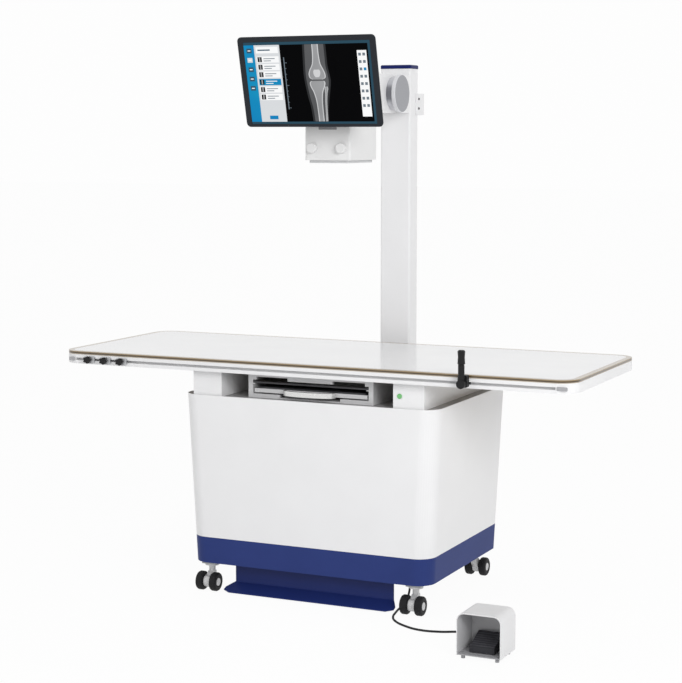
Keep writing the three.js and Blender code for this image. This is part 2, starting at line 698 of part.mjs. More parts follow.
/** Bow handle swept along an arc that leaves the tray's front square on both sides. */
function trayHandle() {
  const half = HANDLE_SPAN / 2;
  const tip = trayFront - HANDLE_BULGE;
  const foot = trayFront - SEAT;
  const right = HANDLE_BOW.map(([across, out]) => (
    new THREE.Vector3(half * across, THREE.MathUtils.lerp(foot, tip, out), 0)));
  const left = right.slice(0, -1).map((point) => point.clone().setX(-point.x));
  const route = new THREE.CatmullRomCurve3([...left, ...right.reverse()]);
  const plan = [];
  const normal = new THREE.Vector3();
  for (const edge of [1, -1]) {
    for (let i = 0; i <= HANDLE_STEPS; i += 1) {
      const at = edge > 0 ? i / HANDLE_STEPS : 1 - i / HANDLE_STEPS;
      const point = route.getPoint(at);
      const tangent = route.getTangent(at);
      normal.set(tangent.y, -tangent.x, 0).multiplyScalar(edge * HANDLE_THICK / 2);
      plan.push([point.x + normal.x, Math.min(point.y + normal.y, foot)]);
    }
  }
  const middle = trayLow + TRAY_LIP / 2 - HANDLE_DROP;
  return closed(prism(polygon(plan), middle - HANDLE_HEIGHT / 2, middle + HANDLE_HEIGHT / 2));
}
add(table, 'tray_handle', trayHandle(), HANDLE_METAL, 0.3, 0.5);

// Float mechanism: cross carriage on the bridge blocks, glide rails under the board, two brakes

function crossCarriage() {
  const pieces = [];
  const barX = blockMidX + BLOCK_WIDTH / 2;
  for (const side of [-1, 1]) {
    const barY = side * (carriageHalfY - CARRIAGE_BAR / 2);
    const bar = [barY - CARRIAGE_BAR / 2, barY + CARRIAGE_BAR / 2];
    pieces.push(block([-barX, barX], bar, [carriageBottom, carriageTop]));
    const plateX = side * blockMidX;
    const plate = [plateX - BLOCK_WIDTH / 2, plateX + BLOCK_WIDTH / 2];
    pieces.push(block(plate, [-carriageHalfY, carriageHalfY], [carriageBottom, carriageTop]));
    for (const end of [-1, 1]) {
      const shoeHalf = GUIDE_WIDTH / 2 - RUN;
      const shoeY = end * SHOE_Y;
      pieces.push(block(
        [plateX - shoeHalf, plateX + shoeHalf],
        [shoeY - SHOE_LENGTH / 2, shoeY + SHOE_LENGTH / 2],
        [blockTop - GUIDE_DEPTH + RUN, carriageTop],
      ));
      const railY = end * glideY;
      const shoe = [plateX - GLIDE_SHOE_LENGTH / 2, plateX + GLIDE_SHOE_LENGTH / 2];
      const inner = GLIDE_WIDTH / 2 + RUN;
      const outer = inner + GLIDE_SHOE_WALL;
      pieces.push(block(shoe, [railY - outer, railY + outer], [carriageBottom, glideBottom - RUN]));
      for (const cheek of [[-outer, -inner], [inner, outer]]) {
        const cheekTop = glideBottom + GLIDE_HEIGHT / 2;
        pieces.push(block(shoe, [railY + cheek[0], railY + cheek[1]], [carriageBottom, cheekTop]));
      }
    }
  }
  return join(...pieces);
}
add(table, 'cross_carriage', crossCarriage(), STEEL, 0.4, 0.7);

for (const [name, side] of [['front_glide_rail', -1], ['rear_glide_rail', 1]]) {
  const y = side * glideY;
  const rail = block(
    [-glideLength / 2, glideLength / 2],
    [y - GLIDE_WIDTH / 2, y + GLIDE_WIDTH / 2],
    [glideBottom, glideTop],
  );
  add(table, name, closed(rail), ALUMINIUM, 0.35, 0.8);
}

/** The lateral brake hangs from the carriage and presses on the right block's inner face. */
function lateralBrake() {
  const face = BLOCK_INNER_X - RUN;
  const half = BRAKE.length / 2;
  const top = carriageBottom - SEAT;
  const back = face - BRAKE.width;
  const body = block([back, face], [-half, half], [carriageBottom - BRAKE.height, top]);
  const flange = block([back, face + BRAKE.flange], [-half, half], [top - BRAKE.sheet, top]);
  return join(body, flange);
}
add(table, 'lateral_brake', lateralBrake(), GRAPHITE, 0.5, 0.3);

/** The longitudinal brake stands on the carriage and presses on the front glide rail's inner face. */
function longitudinalBrake() {
  const face = -glideY + GLIDE_WIDTH / 2 + RUN;
  const behind = face + GLIDE_SHOE_WALL;
  const shoeEnd = blockMidX - GLIDE_SHOE_LENGTH / 2 - RUN - BRAKE.endGap;
  const height = [carriageTop + SEAT, glideTop - BRAKE.headroom];
  const pad = block([BLOCK_INNER_X, shoeEnd], [face, face + BRAKE.width], height);
  const body = block(
    [BLOCK_INNER_X, BLOCK_INNER_X + BRAKE.length],
    [behind + RUN, behind + BRAKE.width],
    height,
  );
  return join(body, pad);
}
add(table, 'longitudinal_brake', longitudinalBrake(), GRAPHITE, 0.5, 0.3);

// Board, perimeter profile and slotted front rail

const boardShape = roundedOutline(TOP_LENGTH / 2, TOP_WIDTH / 2, TOP_CORNER);
add(table, 'tabletop_board', closed(prism(boardShape, boardBottom, topSurface, 8)), LAMINATE, 0.15);

function topFrame() {
  const outer = prism(boardShape, ringBottom, ringTop, 8);
  const innerShape = roundedOutline(
    TOP_LENGTH / 2 - RING_WALL,
    TOP_WIDTH / 2 - RING_WALL,
    TOP_CORNER - RING_WALL,
  );
  const inner = prism(innerShape, ringBottom - LAP, ringTop + LAP, 8);
  const railSpace = block(
    [-railHalf - SEAT, railHalf + SEAT],
    [frontFace - LAP, frontFace + RING_WALL + LAP],
    [ringBottom - LAP, ringTop + LAP],
  );
  return cut(outer, inner, railSpace);
}
add(table, 'top_frame', topFrame(), WHITE_PAINT, 0.35);

function frontRail() {
  const back = frontFace + RING_WALL;
  const mouth = SLOT_MOUTH / 2;
  const wide = SLOT_UNDERCUT / 2;
  const lip = frontFace + SLOT_LIP;
  const deep = frontFace + SLOT_DEPTH;
  return closed(prismX(polygon([
    [frontFace, ringBottom], [back, ringBottom], [back, ringTop], [frontFace, ringTop],
    [frontFace, slotZ + mouth], [lip, slotZ + mouth], [lip, slotZ + wide], [deep, slotZ + wide],
    [deep, slotZ - wide], [lip, slotZ - wide], [lip, slotZ - mouth], [frontFace, slotZ - mouth],
  ]), -railHalf, railHalf));
}
add(table, 'front_rail', frontRail(), WHITE_PAINT, 0.3, 0.2);

// Clamps in the rail's slot

/** Slot foot and neck of a clamp whose outer plate starts at the rail's face. */
function slotFoot(x, length) {
  const half = length / 2;
  const neckHalf = SLOT_MOUTH / 2 - RUN;
  const footHalf = SLOT_UNDERCUT / 2 - RUN;
  const footFront = frontFace + SLOT_LIP + RUN;
  const along = [x - half, x + half];
  return [
    block(along, [frontFace - SEAT - LAP, footFront + LAP], [slotZ - neckHalf, slotZ + neckHalf]),
    block(along, [footFront, footFront + CLAMP_FOOT.thick], [slotZ - footHalf, slotZ + footHalf]),
  ];
}

const clampFront = frontFace - SEAT - CLAMP_THICK;

function railClamp(x) {
  const shape = roundedOutline((CLAMP_LEFT + CLAMP_RIGHT) / 2, CLAMP_HEIGHT / 2, CLAMP_CORNER);
  const plate = prismY(shape, clampFront, frontFace - SEAT, 3);
  plate.translate(x + (CLAMP_RIGHT - CLAMP_LEFT) / 2, 0, slotZ);
  return join(plate, ...slotFoot(x, CLAMP_FOOT.length));
}

/** Lobed grip on a short neck, its axis along Y. */
function starKnob(x) {
  const outline = new THREE.Shape();
  const pointCount = KNOB_LOBES * 6;
  for (let i = 0; i < pointCount; i += 1) {
    const angle = (2 * Math.PI * i) / pointCount;
    const radius = KNOB_RADIUS * (1 - KNOB_LOBE * (1 - Math.cos(KNOB_LOBES * angle)));
    const place = [radius * Math.cos(angle), radius * Math.sin(angle)];
    if (i === 0) outline.moveTo(...place);
    else outline.lineTo(...place);
  }
  outline.closePath();
  const neckFront = clampFront - SEAT - KNOB_NECK;
  const grip = prismY(outline, neckFront - KNOB_THICK, neckFront);
  const neck = rod(KNOB_NECK_RADIUS, neckFront - LAP, clampFront - SEAT, 'y');
  return join(grip, neck).translate(x, 0, slotZ);
}

for (let i = 0; i < CLAMP_COUNT; i += 1) {
  const x = -railHalf + CLAMP_FROM_END + i * CLAMP_PITCH;
  add(table, `rail_clamp_${i + 1}`, railClamp(x), ALUMINIUM, 0.4, 0.6);
  add(table, `star_knob_${i + 1}`, starKnob(x), BLACK, 0.5);
}

const leverBlockFront = frontFace - SEAT - LEVER_BLOCK.y;
const leverBlockLow = slotZ - LEVER_BLOCK.z / 2 + LEVER_BLOCK.z / 5;

function leverClamp() {
  const shape = roundedOutline(LEVER_BLOCK.x / 2, LEVER_BLOCK.z / 2, LEVER_BLOCK.corner);
  const body = prismY(shape, leverBlockFront, frontFace - SEAT, 3);
  body.translate(leverX, 0, leverBlockLow + LEVER_BLOCK.z / 2);
  return join(body, ...slotFoot(leverX, CLAMP_FOOT.length));
}
add(table, 'lever_clamp', leverClamp(), BLACK, 0.45);

function clampLever() {
  const hubBack = leverBlockFront - SEAT;
  const hubFront = hubBack - LEVER_HUB_THICK;
  const axisY = (hubBack + hubFront) / 2;
  const hub = rod(LEVER_HUB_RADIUS, hubFront, hubBack, 'y');
  const gripLow = LEVER_REACH - LEVER_GRIP_LENGTH;
  const rise = LEVER_GRIP_RADIUS / 3;
  const stick = turned([
    [0, 0], [LEVER_NECK_RADIUS, 0], [LEVER_NECK_RADIUS * 0.8, gripLow - rise], [LEVER_GRIP_RADIUS, gripLow],
    [LEVER_GRIP_RADIUS * 0.88, gripLow + LEVER_GRIP_LENGTH / 2], [LEVER_GRIP_RADIUS, LEVER_REACH - rise],
    [LEVER_GRIP_RADIUS * 0.7, LEVER_REACH], [0, LEVER_REACH],
  ], 'z', 16);
  return join(hub, stick.translate(0, axisY, 0)).translate(leverX, 0, slotZ);
}
add(table, 'clamp_lever', clampLever(), BLACK, 0.5);

// Rear column on its console

/** Console between the cabinet's rear wall and the column, its front face following the wall's slope. */
function columnMount() {
  const consoleTop = CONSOLE_BOTTOM + CONSOLE_HEIGHT;
  const wallNear = cabinetHalf(CONSOLE_BOTTOM).y;
  const body = prism(polygon([
    [-CONSOLE_WIDTH / 2, wallNear], [CONSOLE_WIDTH / 2, wallNear],
    [COLUMN_WIDTH / 2, columnFront - SEAT], [-COLUMN_WIDTH / 2, columnFront - SEAT],
  ]), CONSOLE_BOTTOM, consoleTop);
  return cut(body, taperedBody(plinthTop, CABINET_TOP, -SEAT));
}
add(table, 'column_mount', columnMount(), PALE_GREY, 0.45, 0.3);

const columnMiddle = columnFront + COLUMN_DEPTH / 2;

function columnTube() {
  const shape = roundedOutline(COLUMN_WIDTH / 2, COLUMN_DEPTH / 2, COLUMN_CORNER);
  const bore = roundedOutline(
    COLUMN_WIDTH / 2 - COLUMN_WALL,
    COLUMN_DEPTH / 2 - COLUMN_WALL,
    COLUMN_CORNER - COLUMN_WALL,
  );
  const tube = cut(prism(shape, COLUMN_FOOT, columnTop), prism(bore, COLUMN_FOOT - LAP, columnTop + LAP));
  return tube.translate(0, columnMiddle, 0);
}
add(table, 'column_tube', columnTube(), WHITE_PAINT, 0.35);

function columnCap() {
  const halfX = COLUMN_WIDTH / 2 + CAP_OVERHANG;
  const halfY = COLUMN_DEPTH / 2 + CAP_OVERHANG;
  const low = roundedOutline(halfX, halfY, COLUMN_CORNER);
  const high = roundedOutline(halfX - CAP_EDGE, halfY - CAP_EDGE, COLUMN_CORNER - CAP_EDGE);
  const top = columnTop + COLUMN_CAP;
  const shoulder = top - CAP_EDGE;
  const cap = join(prism(low, columnTop + SEAT, shoulder), loft(low, shoulder, high, top));
  return cap.translate(0, columnMiddle, 0);
}
add(table, 'column_cap', columnCap(), DARK_NAVY, 0.4);

// Arm on the column, with the tilting head pivoted at its front end

/** Side view of an arm: a beam of the arm's height with a round end about the pivot. */
function armOutline(farY, radius) {
  const shape = new THREE.Shape();
  const towardsColumn = farY > pivotY;
  const start = towardsColumn ? Math.PI / 2 : -Math.PI / 2;
  shape.absarc(pivotY, PIVOT_Z, radius, start, start + Math.PI);
  shape.lineTo(farY, PIVOT_Z + (towardsColumn ? -radius : radius));
  shape.lineTo(farY, PIVOT_Z + (towardsColumn ? radius : -radius));
  shape.closePath();
  return shape;
}

function rearArm() {
  const core = prismX(armOutline(columnFront - SEAT, ARM_RADIUS), -armCoreHalf, armCoreHalf, 12);
  const trunnion = rod(TRUNNION_RADIUS, -ARM_HALF_WIDTH, ARM_HALF_WIDTH, 'x').translate(0, pivotY, PIVOT_Z);
  const flangeFront = pivotY + ARM_RADIUS + RUN + ARM_CLEAR;
  const flange = block(
    [-ARM_HALF_WIDTH, ARM_HALF_WIDTH],
    [flangeFront, columnFront - SEAT],
    [PIVOT_Z - ARM_RADIUS, PIVOT_Z + ARM_RADIUS],
  );
  return join(core, trunnion, flange);
}
add(table, 'rear_arm', rearArm(), WHITE_PAINT, 0.35);

/** Two cheeks on the trunnion, joined in front of the rear arm by a web that reaches the tube head. */
function headArm() {
  const head = headBack + SEAT;
  const outer = prismX(armOutline(head, ARM_RADIUS), -ARM_HALF_WIDTH, ARM_HALF_WIDTH, 12);
  const gapFront = pivotY - ARM_RADIUS - RUN;
  const gapHalf = armCoreHalf + RUN;
  const gap = block(
    [-gapHalf, gapHalf],
    [gapFront - ARM_CLEAR, pivotY + ARM_RADIUS + LAP],
    [PIVOT_Z - ARM_RADIUS - LAP, PIVOT_Z + ARM_RADIUS + LAP],
  );
  const bore = rod(TRUNNION_RADIUS + RUN, -ARM_HALF_WIDTH - LAP, ARM_HALF_WIDTH + LAP, 'x');
  return cut(outer, gap, bore.translate(0, pivotY, PIVOT_Z));
}
add(table, 'head_arm', headArm(), WHITE_PAINT, 0.35);

function hubDisc() {
  const start = ARM_HALF_WIDTH + SEAT;
  const end = start + HUB_THICK;
  const step = start + HUB_BOSS_THICK;
  return turned([
    [0, start], [HUB_BOSS_RADIUS, start], [HUB_BOSS_RADIUS, step],
    [HUB_RADIUS - HUB_EDGE, step], [HUB_RADIUS, step + HUB_EDGE],
    [HUB_RADIUS, end - HUB_EDGE], [HUB_RADIUS - HUB_EDGE, end], [0, end],
  ], 'x', 32).translate(0, pivotY, PIVOT_Z);
}
add(table, 'hub_disc', hubDisc(), ALUMINIUM, 0.35, 0.9);

/** U-shaped clamp behind the column, its cheeks screwed to the column's sides. */
function armClampYoke() {
  const inner = COLUMN_WIDTH / 2 + SEAT;
  const outer = inner + YOKE_SHEET;
  return closed(prism(polygon([
    [-outer, yokeFront], [-inner, yokeFront], [-inner, yokeBack - YOKE_SHEET],
    [inner, yokeBack - YOKE_SHEET], [inner, yokeFront], [outer, yokeFront],
    [outer, yokeBack], [-outer, yokeBack],
  ]), yokeBottom, yokeBottom + YOKE_HEIGHT));
}
add(table, 'arm_clamp_yoke', armClampYoke(), WHITE_PAINT, 0.4);

// Tube head: housing, collimator with two dials, monitor on a tilting bracket

function tubeHousing() {
  const shape = new THREE.Shape();
  const half = HEAD_HEIGHT / 2;
  const middle = headBottom + half;
  shape.absarc(headBack - HEAD_CORNER, middle + half - HEAD_CORNER, HEAD_CORNER, 0, Math.PI / 2);
  shape.absarc(headFront + HEAD_CORNER, middle + half - HEAD_CORNER, HEAD_CORNER, Math.PI / 2, Math.PI);
  shape.lineTo(headFront, headBottom);
  shape.lineTo(headBack, headBottom);
  shape.closePath();
  return closed(prismX(shape, -HEAD_HALF_X, HEAD_HALF_X));
}
add(table, 'tube_housing', tubeHousing(), WHITE_PAINT, 0.35);

function collimatorHousing() {
  const shape = roundedOutline(COLLIMATOR_HALF_X, COLLIMATOR_HALF_Y, COLLIMATOR_CORNER);
  const inside = roundedOutline(
    COLLIMATOR_HALF_X - COLLIMATOR_WALL,
    COLLIMATOR_HALF_Y - COLLIMATOR_WALL,
    COLLIMATOR_CORNER - COLLIMATOR_WALL,
  );
  const shell = prism(shape, collimatorBottom, collimatorTop);
  const cavity = prism(inside, collimatorBottom - LAP, collimatorTop - COLLIMATOR_WALL);
  return cut(shell, cavity).translate(0, BEAM_Y, 0);
}
add(table, 'collimator_housing', collimatorHousing(), WHITE_PAINT, 0.4);

/** Lower frame with the beam window, held up inside the housing by its shoulder. */
function collimatorFrame() {
  const shoulder = roundedOutline(
    COLLIMATOR_HALF_X - COLLIMATOR_WALL - SEAT,
    COLLIMATOR_HALF_Y - COLLIMATOR_WALL - SEAT,
    COLLIMATOR_CORNER - COLLIMATOR_WALL,
  );
  const lip = roundedOutline(
    COLLIMATOR_HALF_X - LIP_INSET,
    COLLIMATOR_HALF_Y - LIP_INSET,
    COLLIMATOR_CORNER,
  );
  const window = roundedOutline(WINDOW_HALF_X, WINDOW_HALF_Y, WINDOW_CORNER);
  const low = collimatorBottom - LIP_HEIGHT;
  const high = collimatorBottom + COLLIMATOR_WALL;
  const body = join(prism(lip, low, high), prism(shoulder, collimatorBottom, high));
  return cut(body, prism(window, low - LAP, high + LAP)).translate(0, BEAM_Y, 0);
}
add(table, 'collimator_frame', collimatorFrame(), PALE_GREY, 0.45);

for (const [name, side] of [['left_collimator_knob', -1], ['right_collimator_knob', 1]]) {
  const back = collimatorFront - SEAT;
  const front = back - DIAL_LENGTH;
  const edge = 2;
  const dial = turned([
    [0, front], [DIAL_RADIUS - edge, front], [DIAL_RADIUS, front + edge], [DIAL_RADIUS, back - edge],
    [DIAL_RADIUS * 0.7, back - edge], [DIAL_RADIUS * 0.7, back], [0, back],
  ], 'y');
  add(table, name, dial.translate(side * DIAL_X, 0, dialZ), WHITE_PAINT, 0.4);
}

// Monitor, modelled upright about its own hinge axis and then tilted down
const monitor = new THREE.Group();
const backReach = MONITOR_THICK + MONITOR_EAR;
const hingeY = monitorY + backReach * Math.cos(MONITOR_TILT);
const hingeZ = monitorZ + backReach * Math.sin(MONITOR_TILT);
monitor.position.set(0, hingeY, hingeZ);
monitor.rotation.x = MONITOR_TILT;
table.add(monitor);

const screenHalfX = MONITOR_WIDTH / 2 - SCREEN_SIDE_BORDER;
const screenLow = -MONITOR_HEIGHT / 2 + SCREEN_BOTTOM_BORDER;
const screenHigh = MONITOR_HEIGHT / 2 - SCREEN_TOP_BORDER;

function monitorHousing() {
  const shape = roundedOutline(MONITOR_WIDTH / 2, MONITOR_HEIGHT / 2, MONITOR_CORNER);
  const body = prismY(shape, -backReach, -MONITOR_EAR);
  const recess = block(
    [-screenHalfX, screenHalfX],
    [-backReach - LAP, -backReach + SCREEN_DEPTH],
    [screenLow, screenHigh],
  );
  const ears = [-1, 1].map((side) => {
    const inner = side * (MONITOR_HINGE_LENGTH / 2 + RUN);
    const outer = inner + side * MONITOR_EAR;
    const x = [Math.min(inner, outer), Math.max(inner, outer)];
    const round = rod(MONITOR_HINGE_RADIUS, x[0], x[1], 'x');
    const foot = block(x, [-MONITOR_EAR - LAP, 0], [-MONITOR_HINGE_RADIUS, MONITOR_HINGE_RADIUS]);
    return join(round, foot);
  });
  const pinHalf = MONITOR_HINGE_LENGTH / 2 + MONITOR_PIN_LAP;
  const pin = rod(MONITOR_HINGE_RADIUS / 2, -pinHalf, pinHalf, 'x');
  return cut(join(body, ...ears, pin), recess);
}
add(monitor, 'monitor_housing', monitorHousing(), GRAPHITE, 0.4);

const screen = block(
  [-screenHalfX + SEAT, screenHalfX - SEAT],
  [-backReach + 2 * SEAT, -backReach + SCREEN_DEPTH - SEAT],
  [screenLow + SEAT, screenHigh - SEAT],
);
add(monitor, 'monitor_screen', closed(screen), SCREEN_GLASS, 0.1);

/** Bracket from the tube head's front to the hinge barrel behind the monitor. */
function monitorBracket() {
  const back = headFront - SEAT;
  const plate = block(
    [-BRACKET_WIDTH, BRACKET_WIDTH],
    [back - BRACKET_PLATE, back],
    [hingeZ - BRACKET_HEIGHT, hingeZ + BRACKET_HEIGHT / 3],
  );
  const half = MONITOR_HINGE_LENGTH / 2;
  const neck = block(
    [-half, half],
    [hingeY, back - LAP],
    [hingeZ - MONITOR_HINGE_RADIUS, hingeZ + MONITOR_HINGE_RADIUS],
  );
  const barrel = rod(MONITOR_HINGE_RADIUS, -half, half, 'x').translate(0, hingeY, hingeZ);
  const bore = rod(MONITOR_HINGE_RADIUS / 2 + RUN, -half - LAP, half + LAP, 'x').translate(0, hingeY, hingeZ);
  return cut(join(plate, neck, barrel), bore);
}
add(table, 'monitor_bracket', monitorBracket(), PALE_GREY, 0.4, 0.3);

// Foot treadle that releases the float brakes

function treadle() {
  const half = TREADLE_SHEET / 2;
  const web = block(
    [-TREADLE_WEB_HALF, TREADLE_WEB_HALF],
    [treadleWebY - half, treadleWebY + half],
    [TREADLE_FOLD - TREADLE_SHEET, pinZ + TREADLE_OVER_PIN],
  );
  const slope = (TREADLE_FOLD - TREADLE_FRONT_Z) / (treadleWebY - treadleFrontY);
  const back = treadleWebY + half;
  const heightAt = (y) => TREADLE_FRONT_Z + slope * (y - treadleFrontY);
  const rightSide = [
    [TREADLE_HALF - TREADLE_TIP.x, treadleFrontY],
    [TREADLE_HALF, treadleFrontY + TREADLE_TIP.front],
    [TREADLE_HALF, back - TREADLE_TIP.rear],
    [TREADLE_WEB_HALF, back],
  ];
  const leftSide = rightSide.map(([x, y]) => [-x, y]).reverse();
  const plan = polygon([...leftSide, ...rightSide]);
  const tread = prism(plan, 0, TREADLE_SHEET);
  const place = tread.attributes.position;
  for (let i = 0; i < place.count; i += 1) {
    place.setZ(i, place.getZ(i) - TREADLE_SHEET + heightAt(place.getY(i)));
  }
  const ears = [-1, 1].map((side) => {
    const x = side > 0 ? [EAR_X, EAR_X + EAR_THICK] : [-EAR_X - EAR_THICK, -EAR_X];
    const round = rod(LUG_RADIUS, x[0], x[1], 'x').translate(0, pinY, pinZ);
    const foot = block(x, [treadleWebY, pinY], [pinZ - LUG_RADIUS, pinZ + LUG_RADIUS / 2]);
    return join(round, foot);
  });
  const hole = rod(PIN_RADIUS + SEAT, -casterX, casterX, 'x').translate(0, pinY, pinZ);
  return cut(join(web, tread, ...ears), hole);
}
add(table, 'treadle', treadle(), DARK_NAVY, 0.4);

const pinHalf = EAR_X + 2 * EAR_THICK + RUN + PIN_END;
const treadlePin = rod(PIN_RADIUS, -pinHalf, pinHalf, 'x').translate(0, pinY, pinZ);
add(table, 'treadle_pin', treadlePin, STEEL, 0.35, 0.8);

// Twin-wheel swivel casters

const wheelOuter = (WHEEL_SPACING + WHEEL_WIDTH) / 2;
const wheelInner = (WHEEL_SPACING - WHEEL_WIDTH) / 2;

/** Fork about its swivel axis, the axle trailing towards -Y. */
function casterFork() {
  const housingHalf = wheelInner - FORK_SIDE_GAP;
  const legHalf = housingHalf - LAP;
  const swivelLow = casterTop - SWIVEL_THICK;
  const disc = rod(SWIVEL_RADIUS, swivelLow, casterTop, 'z');
  const pin = rod(SWIVEL_PIN, casterTop - LAP, casterBossBottom + SWIVEL_PIN_LENGTH, 'z');
  const legTop = 2 * WHEEL_RADIUS;
  const neckLow = legTop - FORK_NECK_LAP;
  const neck = rod(SWIVEL_NECK, neckLow, swivelLow + LAP, 'z');
  const leg = prismX(polygon([
    [SWIVEL_NECK, legTop], [-SWIVEL_NECK, legTop],
    [-CASTER_TRAIL - FORK_HOUSING_RADIUS, WHEEL_RADIUS],
    [-CASTER_TRAIL + FORK_HOUSING_RADIUS, WHEEL_RADIUS],
    [SWIVEL_NECK, neckLow - FORK_LEG_DROP],
  ]), -legHalf, legHalf);
  const housing = rod(FORK_HOUSING_RADIUS, -housingHalf, housingHalf, 'x');
  const bore = rod(WHEEL_SLEEVE + RUN, -wheelOuter, wheelOuter, 'x');
  for (const round of [housing, bore]) round.translate(0, -CASTER_TRAIL, WHEEL_RADIUS);
  return cut(join(disc, pin, neck, leg, housing), bore);
}

/** Two tyres on one sleeve, with flat sides so that the wheels stand on a facet. */
function casterWheels() {
  const tread = WHEEL_RADIUS / Math.cos(Math.PI / WHEEL_SIDES);
  const shoulder = tread - WHEEL_SHOULDER;
  const half = [
    [WHEEL_SLEEVE, wheelInner], [shoulder, wheelInner],
    [tread - WHEEL_ROUNDING, wheelInner + WHEEL_ROUNDING], [tread, wheelInner + WHEEL_SHOULDER],
    [tread, wheelOuter - WHEEL_SHOULDER], [tread - WHEEL_ROUNDING, wheelOuter - WHEEL_ROUNDING],
    [shoulder, wheelOuter], [WHEEL_HUB_RADIUS + WHEEL_DISH, wheelOuter],
    [WHEEL_HUB_RADIUS, wheelOuter - WHEEL_DISH], [0, wheelOuter - WHEEL_DISH],
  ];
  const mirrored = half.map(([radius, x]) => [radius, -x]).reverse();
  const wheels = turned([...mirrored, ...half], 'x', WHEEL_SIDES);
  return wheels.translate(0, -CASTER_TRAIL, WHEEL_RADIUS);
}

const casterPlaces = [
  ['front_left', -casterX, -casterY, 0],
  ['front_right', casterX, -casterY, 0],
  ['rear_left', -casterX, casterY, Math.PI],
  ['rear_right', casterX, casterY, Math.PI],
];
for (const [place, x, y, turn] of casterPlaces) {
  const caster = new THREE.Group();
  caster.position.set(x, y, 0);
  caster.rotation.z = turn;
  table.add(caster);
  add(caster, `${place}_caster_fork`, casterFork(), STEEL, 0.4, 0.7);
  add(caster, `${place}_caster_wheels`, casterWheels(), BLACK, 0.6);
}

// Footswitch: hood, base with feet, sprung pedal, and the cord to the chassis

const hoodTop = HOOD_BOTTOM + HOOD_HEIGHT;
const baseHigh = HOOD_BOTTOM + HOOD_WALL;

/** Arched hood open at the front, with a rear wall. */
function footswitchHood() {
  const arch = (inset) => {
    const half = HOOD_WIDTH / 2 - inset;
    const corner = HOOD_CORNER - inset;
    const shape = new THREE.Shape();
    shape.moveTo(-half, HOOD_BOTTOM - (inset ? LAP : 0));
    shape.lineTo(half, HOOD_BOTTOM - (inset ? LAP : 0));
    shape.absarc(half - corner, hoodTop - inset - corner, corner, 0, Math.PI / 2);
    shape.absarc(-half + corner, hoodTop - inset - corner, corner, Math.PI / 2, Math.PI);
    shape.closePath();
    return shape;
  };
  const outer = prismY(arch(0), HOOD_FRONT, hoodBack);
  const inner = prismY(arch(HOOD_WALL), HOOD_FRONT - LAP, hoodBack - HOOD_WALL);
  return cut(outer, inner).translate(HOOD_X, 0, 0);
}
add(table, 'footswitch_hood', footswitchHood(), WHITE_PAINT, 0.4);

const baseHalfX = HOOD_WIDTH / 2 - HOOD_WALL - SEAT;
const baseFront = HOOD_FRONT + BASE_FRONT_INSET;
const baseBack = hoodBack - HOOD_WALL - SEAT;

function footswitchBase() {
  const plate = block([-baseHalfX, baseHalfX], [baseFront, baseBack], [HOOD_BOTTOM, baseHigh]);
  const feet = [];
  for (const side of [-1, 1]) {
    for (const y of [HOOD_FRONT + FOOT_INSET, hoodBack - FOOT_INSET]) {
      const foot = rod(FOOT_RADIUS, 0, HOOD_BOTTOM + LAP, 'z', 12);
      feet.push(foot.translate(side * (HOOD_WIDTH / 2 - FOOT_INSET), y, 0));
    }
  }
  return join(plate, ...feet).translate(HOOD_X, 0, 0);
}
add(table, 'footswitch_base', footswitchBase(), GRAPHITE, 0.6);

const pedalFront = HOOD_FRONT + PEDAL_FRONT_INSET;
const pedalBack = pedalFront + PEDAL.y;
const pedalLow = baseHigh + SEAT;

/** Wedge pedal rising into the hood; the toe presses its rear down about its front lower edge. */
function footswitchPedal() {
  const top = pedalLow + PEDAL.z;
  const profile = polygon([
    [pedalFront, pedalLow], [pedalBack, pedalLow + PEDAL_UNDER_RISE], [pedalBack, top + PEDAL_RISE],
    [pedalFront + PEDAL.edge, top], [pedalFront, top - PEDAL.edge],
  ]);
  return closed(prismX(profile, -PEDAL.x / 2, PEDAL.x / 2)).translate(HOOD_X, 0, 0);
}
add(table, 'footswitch_pedal', footswitchPedal(), GRAPHITE, 0.6);

/** Tapered strain relief from its seat at 0 to its nose. */
const glandProfile = [
  [0, 0], [GLAND_RADIUS, 0], [GLAND_RADIUS, GLAND_COLLAR], [GLAND_WAIST.radius, GLAND_WAIST.z],
  [GLAND_NOSE, GLAND_LENGTH], [0, GLAND_LENGTH],
];
const hoodGland = turned(glandProfile, 'y').translate(HOOD_X, hoodBack + SEAT, HOOD_GLAND_Z);
add(table, 'footswitch_gland', hoodGland, BLACK, 0.6);
const floorGland = closed(turned(glandProfile).rotateX(Math.PI));
floorGland.translate(FLOOR_GLAND_X, FLOOR_GLAND_Y, panBottom - SEAT);
add(table, 'cord_gland', floorGland, BLACK, 0.6);

const hoodNose = hoodBack + SEAT + GLAND_LENGTH;
const floorNose = panBottom - SEAT - GLAND_LENGTH;
const lie = cordRadius + SEAT;

// The cord leaves the hood at the back, curls round to the left and runs over the floor to the chassis gland.
const cordRoute = [
  [HOOD_X, hoodNose + SEAT, HOOD_GLAND_Z],
  [HOOD_X, hoodNose + 10, HOOD_GLAND_Z],
  [729, -488, 17],
  [725, -464, 6],
  [712, -441, lie],
  [689, -421, lie],
  [655, -409, lie],
  [612, -408, lie],
  [568, -420, lie],
  [521, -442, lie],
  [459, -450, lie],
  [400, -428, lie],
  [346, -384, lie],
  [323, -342, lie],
  [313, -300, lie],
  [306, -262, lie],
  [302, -230, lie],
  [300, -202, 5.5],
  [300, -176, 16],
  [FLOOR_GLAND_X, FLOOR_GLAND_Y - 7, 38],
  [FLOOR_GLAND_X, FLOOR_GLAND_Y, floorNose - 18],
  [FLOOR_GLAND_X, FLOOR_GLAND_Y, floorNose - SEAT],
].map((point) => new THREE.Vector3(...point));

